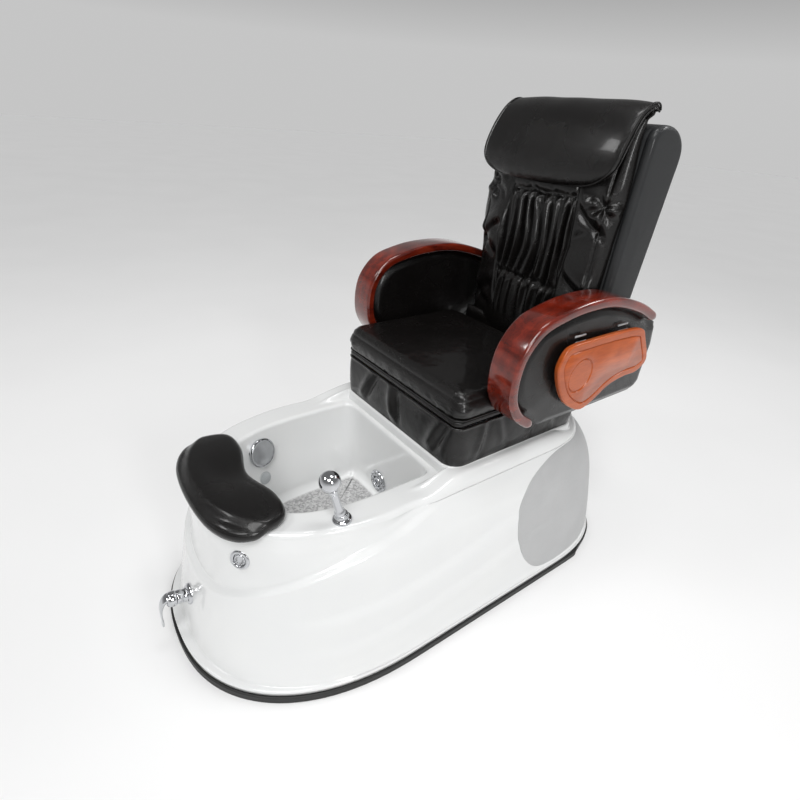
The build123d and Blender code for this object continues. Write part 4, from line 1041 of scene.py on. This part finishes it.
def make_back_cover():
    """Loose leather back cover: gathered centre between two elastic bands, plain creased sides."""
    low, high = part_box("back_cover")
    heights = np.concatenate([np.linspace(low.z + 0.0005, 1.130, 210), np.linspace(1.134, high.z - 0.001, 46)])
    across, behind = 330, 36
    knots, values = zip(*COVER_FRONT)
    rings = []
    for z in heights:
        front = float(curve_at(z, knots, values)) + 0.0035
        rear = float(back_front(min(z, SHELL_TOP_Z))) - 0.0008 + 0.0215 * float(smooth(z, 1.286, 1.302))
        turn = np.linspace(0, math.pi, 900)
        power = 3.1
        wide = high.x + 0.013 * hill(z, 1.045, 0.105) + 0.004 * ripple(0, 0, z, 9.0, 2.0)
        x = wide * squarish(np.cos(turn), 2 / power)
        y = rear - (rear - front) * np.abs(np.sin(turn)) ** (2 / power)
        x = x - 0.008 * hill(z, 1.02, 0.10)
        face = even(np.column_stack([x, y]), across)
        along = headings(face)
        out = np.column_stack([-along[:, 1], along[:, 0]])
        if out[across // 2][1] > 0:
            out = -out
        fade = smooth(face[:, 1] * -1, -rear + 0.004, -rear + 0.022)
        tuck = 1.0 if z > low.z + 0.02 else (z - low.z) / 0.02
        push = np.array([cover_folds(px, z) for px in face[:, 0]]) * fade * tuck
        face = face + out * push[:, None]
        back = np.column_stack([np.linspace(-high.x, high.x, behind + 2)[1:-1], np.full(behind, rear)])
        rings.append(raised(np.vstack([face, back]), z))
    obj = loft("back_cover_gathered", rings, "leather_black", "backrest", ("back_cover",))


def make_pillow():
    """Head pillow flap that hangs over the top of the cover: boxed edge with two piped seams, round lower corners."""
    path = [(0.4050, 1.1240), (0.3985, 1.1450), (0.3975, 1.1700), (0.4040, 1.2050), (0.4160, 1.2400), (0.4310, 1.2720)]
    path += [(0.4500, 1.2990), (0.4740, 1.3150), (0.4960, 1.3170), (0.5060, 1.3080)]
    rows, count = 130, 300
    line = open_curve(path, rows)
    ahead = headings(line)
    out = np.column_stack([-ahead[:, 1], ahead[:, 0]])
    rings, seams = [], ([], [])
    share = np.linspace(0, 1, rows)
    for k in range(rows):
        v = share[k]
        bottom = max(0.0, (0.36 - v) / 0.36)
        wide = 0.2225 * (1 - min(bottom, 0.9995) ** 3.1) ** (1 / 3.1)
        wide *= 1 - 0.030 * float(smooth(v, 0.35, 1.0))
        deep = 0.0150 * (1 - min(1.0, bottom) ** 4) ** 0.25 * (1 - 0.30 * float(smooth(v, 0.45, 0.9)))
        deep *= max(0.04, 1 - max(0.0, (v - 0.93) / 0.07) ** 2) ** 0.5
        deep = max(deep, 0.0035)
        skew = -0.006 + 0.020 * v
        turn = np.linspace(0, 2 * math.pi, count, endpoint=False)
        x = squarish(np.cos(turn), 0.55) * wide
        off = squarish(np.sin(turn), 0.42) * deep
        pts = []
        for px, po in zip(x, off):
            front = po > 0
            creases = ripple(px * 1.3, v * 0.22, 0, 30.0, 5.0) * hill(v, 0.12, 0.14)
            soft = 0.0016 * ripple(px, v * 0.2, 0, 14.0, 3.0) + 0.0016 * creases
            lift = soft * (1.0 if front else 0.0) * min(1.0, abs(po) / deep * 1.4)
            crown = 0.0042 * (1 - (abs(px) / max(wide, 1e-6)) ** 2.4) * (1.0 if front else -0.25)
            yz = line[k] + out[k] * (po + lift + crown)
            drop = 0.0030 * hill(v, 1.0, 0.35) * (1 - (px / 0.2225) ** 2)
            pts.append((px + skew, yz[0], yz[1] - drop))
        rings.append(np.array(pts))
        for index, way in enumerate((1, -1)):
            x = way * (wide + 0.0006) + skew
            seams[index].append([(x, *(line[k] + out[k] * deep * lift)) for lift in (0.62, -0.55)])
    obj = loft("head_pillow", rings, "leather_black", "backrest", ("pillow_flap",))
    for index in (0, 1):
        left = [row[index] for row in seams[1]][::-1]
        right = [row[index] for row in seams[0]]
        path = even(np.array(left + right), 300)
        tube(f"pillow_piping_{index}", path, 0.0024, "leather_black", "backrest")


# ---- footrest pad
def beyond_nose(points):
    """How far plan points lie outside the hull's nose at deck height."""
    nose = NOSE_SHARE * (DATUM_Y - FRONTS[-1])
    ahead = np.maximum(FRONTS[-1] + nose - points[:, 1], 1e-6)
    size = ((np.abs(points[:, 0]) / HALF_WIDTHS[-1]) ** NOSE_POWER + (ahead / nose) ** NOSE_POWER) ** (1 / NOSE_POWER)
    return (1 - 1 / size) * np.hypot(points[:, 0], ahead)


def make_footrest_pad():
    """Kidney-shaped foam pad with two leg lobes, a dished middle and a front edge rolled over."""
    low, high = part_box("footrest_pad")
    high.z, low.z = high.z - 0.019, low.z - 0.006
    outline = [(0, -0.632), (0.112, -0.622), (0.179, -0.588), (0.199, -0.535), (0.179, -0.474), (0.108, -0.464)]
    outline += [(0, -0.490)]
    outline += [(-x, y) for x, y in outline[-2:0:-1]]
    ring = closed_curve(outline, 320) + (0.005, 0.0)
    centre = np.array([0.0, -0.556])
    thick = high.z - low.z
    stack = [(0.016, 0.0), (0.006, 0.0004), (0.002, 0.003)]
    for t in np.linspace(0.06, 0.60, 10):
        stack.append((-0.0030 * math.sin(math.pi * (t - 0.06) / 0.60), thick * t))
    edge = 0.021
    for turn in np.linspace(0, math.pi / 2, 14)[1:]:
        stack.append((edge * (1 - math.cos(turn)), thick * 0.60 + (thick * 0.40 - 0.003) * math.sin(turn)))
    rings = []
    for inset, height in stack:
        p = inset_ring(ring, inset, 2) if inset > 0.0 else ring - normals_2d(ring) * inset
        rings.append(raised(p, low.z + height))
    inner = rings[-1][:, :2]
    for share in np.linspace(1.0, 0.02, 30)[1:]:
        p = centre + (inner - centre) * share
        rings.append(raised(p, high.z - 0.003 + 0.003 * (1 - share) ** 0.7))
    for r in rings:
        up = smooth(r[:, 2], low.z + 0.4 * thick, high.z)
        dish = 0.0075 * hill(r[:, 0], 0.0, 0.070) * smooth(r[:, 1], -0.600, -0.540)
        hang = 0.0105 * smooth(beyond_nose(r), 0.002, 0.026)
        droop = 0.0060 * smooth(-r[:, 1], 0.580, 0.634) + 0.0050 * smooth(np.abs(r[:, 0]), 0.140, 0.205)
        r[:, 2] -= up * (dish + 0.6 * droop) + hang
    obj = loft("footrest_pad_moulded", rings, "leather_black", "footrest", ("footrest_pad",))


# ---- turned fittings
def lathe(name, profile, place, axis, slot, body, stands_for=(), count=72, wave=None):
    """Solid of revolution from (radius, height) points along an axis; wave(turn, radius, height) moves the skin."""
    axis = Vector(axis).normalized()
    side = axis.orthogonal().normalized()
    other = axis.cross(side)
    place = Vector(place)
    rings = []
    for radius, height in profile:
        ring = []
        for k in range(count):
            turn = 2 * math.pi * k / count
            r, h = (radius, height) if wave is None else wave(turn, radius, height)
            ring.append(place + axis * h + side * (r * math.cos(turn)) + other * (r * math.sin(turn)))
        rings.append(np.array(ring))
    obj = loft(name, rings, slot, body, stands_for)
    obj.data.set_sharp_from_angle(angle=math.radians(42))
    return obj


def soft_profile(points, corner=0.3):
    """Lathe profile in metres from (radius, height) corners in millimetres, with the corners rounded by short arcs."""
    points = [(radius / 1000, height / 1000) for radius, height in points]
    made = [points[0]]
    for before, here, after in zip(points, points[1:], points[2:]):
        a = [here[i] + (before[i] - here[i]) * corner for i in (0, 1)]
        b = [here[i] + (after[i] - here[i]) * corner for i in (0, 1)]
        for t in (0.0, 0.25, 0.5, 0.75, 1.0):
            made.append(tuple((1 - t) ** 2 * a[i] + 2 * t * (1 - t) * here[i] + t * t * b[i] for i in (0, 1)))
    return made + [points[-1]]


def wall_at(y, z):
    """Place and inward normal of the basin's right-hand wall at (y, z)."""
    hull = bpy.data.objects["spa_base_moulding"]
    hit, place, normal, _ = hull.ray_cast(Vector((0, y, z)), Vector((-1, 0, 0)))
    normal = Vector(normal)
    return Vector(place), normal if normal.x > 0 else -normal


def make_basin_fittings():
    """Overflow cap, underwater light and swivelling jet."""
    place, normal = wall_at(-0.383, 0.380)
    lathe(
        "overflow_cap",
        soft_profile([(40, -6), (40, 6), (42.5, 6.5), (43, 12), (39, 15), (36.5, 13.5), (20, 14.2), (2, 14.5)]),
        place, normal, "chrome", "base", ("overflow_cover",),
    )
    side = normal.cross(Vector((0, 0, 1))).normalized()
    hole = [(0.0045, -0.001), (0.0048, 0.001), (0.0035, 0.0014), (0.001, 0.0010)]
    for k, turn in enumerate((200, 20)):
        across, up = 0.0402 * math.cos(math.radians(turn)), 0.0402 * math.sin(math.radians(turn))
        spot = place + normal * 0.0045 + side * across + Vector((0, 0, 1)) * up
        lathe(f"overflow_hole_{k}", hole, spot, spot - place - normal * 0.0045, "rubber_black", "base", count=24)
    place, normal = wall_at(-0.3805, 0.299)
    lathe(
        "underwater_light",
        soft_profile([(18.5, -5), (19, 2), (16.5, 4), (15, 3.2), (8, 5.2), (0.8, 5.8)]),
        place, normal, "plastic_clear", "base", ("basin_light",), count=60,
    )
    low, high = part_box("jet_nozzle")
    jet = Vector(((low.x + high.x) / 2, BASIN_REAR_Y, (low.z + high.z) / 2))

    def petals(turn, radius, height):
        lobe = 0.5 + 0.5 * math.cos(8 * turn)
        reach = hill(radius, 0.0270, 0.0050)
        return radius, height - 0.0042 * (1 - lobe) ** 2 * reach

    lathe(
        "jet_rosette",
        soft_profile([
            (30, -4), (36.5, 0), (37.2, 3.5), (34.5, 7.5), (31, 8.5),
            (27, 8), (22.5, 8.8), (19, 8.5), (17.5, 3), (16.5, -4),
        ]),
        jet, (0, -1, 0), "chrome", "base", ("jet_body",), count=128, wave=petals,
    )
    lathe(
        "jet_eyeball",
        soft_profile([(15, -6), (15.2, 4), (13.5, 8.5), (10, 11), (7, 11.2), (5.8, 6), (5, -2), (1, -2)]),
        jet, (0, -1, 0), "chrome", "jet_nozzle", ("jet_nozzle",), count=64,
    )


def make_shower():
    """Hand shower standing in its collar."""
    base, lean = Vector((0.247, -0.361, DECK_Z)), math.radians(15)
    axis = Vector((0, -math.sin(lean), math.cos(lean)))
    lathe(
        "shower_collar",
        soft_profile([
            (22.5, -1), (23.2, 3), (21.5, 7), (17, 9.5),
            (15, 14), (15.5, 19), (13.5, 21.5), (10, 21.5),
        ], 0.35),
        base, (axis + Vector((0, 0, 1))).normalized(), "chrome", "base", ("shower_socket",),
    )
    stem = [(12, 18), (13.2, 24), (12.8, 30), (9.8, 36), (9, 50), (8.8, 70), (9.2, 86), (11.8, 96), (12.4, 101)]
    stem += [(10, 104)]
    ball = [(0.0242 * math.sin(t), 0.126 - 0.0242 * math.cos(t)) for t in np.linspace(0.46, math.pi - 0.55, 26)]
    rose = [(0.0110, 0.1470), (0.0100, 0.1478), (0.0020, 0.1480)]
    profile = soft_profile(stem) + ball + rose
    lathe("shower_handle", profile, base, axis, "chrome", "hand_shower", ("hand_shower",), count=80)


def make_button():
    """Air button in its chrome ring."""
    turn = math.radians(40)
    axis = Vector((math.sin(turn), -math.cos(turn), 0.22)).normalized()
    place = Vector((0.176, -0.582, 0.372))
    hull = bpy.data.objects["spa_base_moulding"]
    hit, spot, normal, _ = hull.ray_cast(place + axis * 0.1, -axis)
    if hit:
        place = Vector(spot)
    lathe(
        "button_ring",
        soft_profile([(22.5, -10), (24, 1), (23.2, 4.2), (20, 5.6), (16.5, 4.6), (15, 1.8), (14.8, -9)]),
        place, axis, "chrome", "base", ("button_bezel",),
    )

    def ribs(angle, radius, height):
        return radius, height + 0.0006 * math.cos(12 * angle) * hill(radius, 0.009, 0.003)

    lathe(
        "button_cap",
        soft_profile([(13.8, -4), (13.8, 3), (12.5, 4.6), (9, 3.6), (5, 3), (0.6, 2.8)]),
        place, axis, "chrome", "air_button", ("air_button",), wave=ribs,
    )


def make_mixer():
    """Mixer rosette, cap and paddle lever."""
    place, tilt = Vector((0, -0.662, 0.145)), math.radians(10)
    axis = Vector((0, -math.cos(tilt), math.sin(tilt)))
    lathe(
        "mixer_rosette",
        soft_profile([
            (20, -12), (27, -4), (27.5, 2), (23.5, 7), (17.5, 9.5),
            (16.5, 20), (18, 24), (18, 33), (15, 34.5), (10, 34.5),
        ], 0.35),
        place, axis, "chrome", "base", ("mixer_body",),
    )
    low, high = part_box("mixer_lever")
    cap = place + axis * 0.045
    line = [(cap.y + 0.010, cap.z + 0.004), (cap.y - 0.006, cap.z + 0.0105), (cap.y - 0.0175, cap.z + 0.0030)]
    line += [(low.y + 0.0060, cap.z - 0.018), (low.y + 0.0035, (cap.z + low.z) / 2 - 0.004)]
    line += [(low.y + 0.0040, low.z + 0.016), (low.y + 0.0018, low.z + 0.0015)]
    path = open_curve(line, 60)
    ahead = headings(path)
    rings = []
    for k, (y, z) in enumerate(path):
        t = k / (len(path) - 1)
        wide = 0.0135 - 0.0045 * float(smooth(t, 0.05, 0.6)) + 0.0022 * float(smooth(t, 0.7, 1.0))
        thick = 0.0062 - 0.0038 * float(smooth(t, 0.1, 0.7))
        end = max(0.0, (t - 0.94) / 0.06)
        wide, thick = wide * math.sqrt(1 - 0.9 * end**2), thick * math.sqrt(1 - 0.8 * end**2)
        turn = np.linspace(0, 2 * math.pi, 40, endpoint=False)
        across = squarish(np.cos(turn), 0.7) * wide
        deep = squarish(np.sin(turn), 0.7) * thick
        rings.append(np.column_stack([across, y - ahead[k][1] * deep, z + ahead[k][0] * deep]))
    loft("mixer_paddle", rings, "chrome", "mixer_lever", ("mixer_lever",))
    lathe(
        "mixer_cap",
        soft_profile([(15, 34.8), (19.5, 35.2), (20, 42), (18.5, 52), (13, 57), (1, 58)], 0.35),
        place, axis, "chrome", "mixer_lever",
    )


def bar(name, low, high, slot, body, stands_for=(), round_off=0.0012):
    """A small flat bar between two corners, with its edges broken."""
    rings = []
    (x0, y0, z0), (x1, y1, z1) = low, high
    for x, inset in ((x0, round_off), (x0 + round_off, 0.0), (x1 - round_off, 0.0), (x1, round_off)):
        box = [(y0 + inset, z0 + inset), (y1 - inset, z0 + inset), (y1 - inset, z1 - inset), (y0 + inset, z1 - inset)]
        rings.append(np.array([(x, y, z) for y, z in even(np.array(box), 40, closed=True)]))
    obj = loft(name, rings, slot, body, stands_for)
    obj.data.set_sharp_from_angle(angle=math.radians(35))
    return obj


def make_hinges():
    """Tray hinges as they show: two short flat leaves and knuckles at the tray's upper edge."""
    leaf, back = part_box("tray_leaf_left"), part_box("tray_left")[0].x
    spans = ((leaf[0].y, leaf[0].y + 0.042), (leaf[1].y - 0.043, leaf[1].y))
    for side, way in SIDES.items():
        for index, (front, rear) in enumerate(spans):
            near, far = sorted((way * (back - 0.0022), way * (back - 0.0002)))
            name, node_names = f"tray_leaf_plate_{side}_{index}", () if index else (f"tray_leaf_{side}",)
            bar(name, (near, front, 0.8010), (far, rear, 0.8100), "steel_bare", f"tray_{side}", node_names, 0.0004)
            near, far = sorted((way * 0.3412, way * 0.3456))
            name, node_names = f"tray_knuckle_{side}_{index}", () if index or way < 0 else ("tray_hinge_plates",)
            bar(name, (near, front, 0.8192), (far, rear, 0.8242), "steel_bare", "seat", node_names)


def make_seat_gusset():
    """Leather gusset that closes the gap between the cushion and the foot of the backrest."""
    profile = [(0.366, 0.676), (0.374, 0.668), (0.380, 0.652), (0.383, 0.630), (0.384, 0.6085), (0.390, 0.5985)]
    profile += [(0.378, 0.5985), (0.372, 0.620), (0.370, 0.650), (0.364, 0.668)]
    rings = []
    for x in np.linspace(-0.236, 0.236, 90):
        sag = 0.004 * math.cos(math.pi * x / 0.5) + 0.0015 * ripple(x, 0, 0, 20.0, 4.0)
        rings.append(np.array([(x, y + 0.003 * ripple(x, y, z, 26.0, 2.0), z - sag) for y, z in profile]))
    loft("seat_back_gusset", rings, "leather_black", "seat")


def make_back_skirt():
    """Leather skirt that carries the back cover down behind the cushion."""
    rings = []
    for x in np.linspace(-0.222, 0.222, 70):
        edge = max(0.0, (abs(x) - 0.190) / 0.032)
        foot = 0.604 + 0.018 * edge**2
        wave = 0.003 * ripple(x, 0, 0, 18.0, 6.0)
        path = [(0.411, 0.700), (0.408, 0.680), (0.4065, 0.650), (0.4065, foot + 0.006), (0.409, foot)]
        path += [(0.4125, foot + 0.005), (0.413, 0.650), (0.416, 0.680), (0.420, 0.700)]
        rings.append(np.array([(x, y + wave * (1 if z < 0.67 else 0.2), z) for y, z in path]))
    loft("back_skirt", rings, "leather_black", "backrest")


# ---- stage, light and camera
def area_light(name, place, target, size, energy):
    """A rectangular soft light aimed at a target."""
    data = bpy.data.lights.new(name, "AREA")
    data.shape = "RECTANGLE"
    data.size, data.size_y = size
    data.energy = energy
    light = bpy.data.objects.new(name, data)
    bpy.context.scene.collection.objects.link(light)
    light.location = place
    light.rotation_mode = "QUATERNION"
    light.rotation_quaternion = (Vector(target) - Vector(place)).to_track_quat("-Z", "Y")


def floor_finish():
    """Pale matt floor."""
    material, tree, shader = new_material("floor_pale", grey(0.86), 0.75)
    cloud = texture(tree, "ShaderNodeTexNoise", 1.3, Detail=2.0)
    tone = ramp(tree, cloud.outputs["Fac"], [(0.3, grey(0.85)), (0.7, grey(0.87))])
    tree.links.new(tone.outputs["Color"], shader.inputs["Base Color"])
    return material


def make_stage():
    """Pale floor, four soft lights, a broad sun and a grey-graded sky."""
    mesh = bpy.data.meshes.new("floor")
    corners = [(-30, -30, 0), (30, -30, 0), (30, 30, 0), (-30, 30, 0)]
    mesh.from_pydata(corners, [], [(0, 1, 2, 3)])
    floor = bpy.data.objects.new("floor", mesh)
    bpy.context.scene.collection.objects.link(floor)
    mesh.materials.append(floor_finish())
    area_light("key", (-0.9, -2.2, 3.0), (0, -0.1, 0.5), (0.8, 0.5), 18)
    area_light("side", (3.0, -0.6, 1.9), (0, 0, 0.6), (0.5, 1.1), 26)
    area_light("rim", (0.9, 2.6, 2.9), (0, 0.2, 0.9), (1.4, 0.4), 16)
    area_light("overhead", (0.2, 0.3, 3.6), (0, 0.1, 0.6), (0.5, 1.4), 22)
    sun = bpy.data.lights.new("sky", "SUN")
    sun.energy, sun.angle = 1.7, math.radians(30)
    high = bpy.data.objects.new("sky", sun)
    bpy.context.scene.collection.objects.link(high)
    high.rotation_mode = "QUATERNION"
    high.rotation_quaternion = Vector((-0.42, 0.42, -0.85)).to_track_quat("-Z", "Y")
    world = bpy.data.worlds.new("studio")
    bpy.context.scene.world = world
    world.use_nodes = True
    tree = world.node_tree
    back = tree.nodes["Background"]
    place = node(tree, "ShaderNodeTexCoord")
    axes = node(tree, "ShaderNodeSeparateXYZ")
    tree.links.new(place.outputs["Generated"], axes.inputs["Vector"])
    sky = ramp(tree, axes.outputs["Z"], [(0.0, grey(0.85)), (0.10, grey(0.85)), (0.26, grey(0.38)), (1.0, grey(0.32))])
    tree.links.new(sky.outputs["Color"], back.inputs["Color"])
    back.inputs["Strength"].default_value = 0.66


def make_camera():
    """Pinhole fitted to the object's own sizes: a short lens held at head height to the front left."""
    data = bpy.data.cameras.new("camera")
    data.sensor_width = 36.0
    data.lens = 23.0
    camera = bpy.data.objects.new("camera", data)
    bpy.context.scene.collection.objects.link(camera)
    target = Vector((-0.121, 0.067, 0.459))
    turn, lift, roll, away = math.radians(51.742), math.radians(29.079), math.radians(4.769), 1.638
    back = Vector((math.sin(turn) * math.cos(lift), -math.cos(turn) * math.cos(lift), math.sin(lift)))
    right = back.cross(Vector((0, 0, 1))) * -1
    right.normalize()
    up = back.cross(right)
    rolled_right = right * math.cos(roll) + up * math.sin(roll)
    rolled_up = up * math.cos(roll) - right * math.sin(roll)
    spin = Matrix((rolled_right, rolled_up, back)).transposed()
    camera.matrix_world = Matrix.Translation(target + back * away) @ spin.to_4x4()
    bpy.context.scene.camera = camera


for make in (
    make_hull, make_painted_flank_shade, make_kerb, make_apron, make_seat,
    make_arm_bands, make_arm_panels, make_trays, make_back_shell, make_back_cover,
    make_pillow, make_footrest_pad, make_basin_fittings, make_shower, make_button,
    make_mixer, make_hinges, make_seat_gusset, make_back_skirt, make_stage,
    make_camera,
):
    make()
bpy.context.scene.view_settings.view_transform = "Standard"
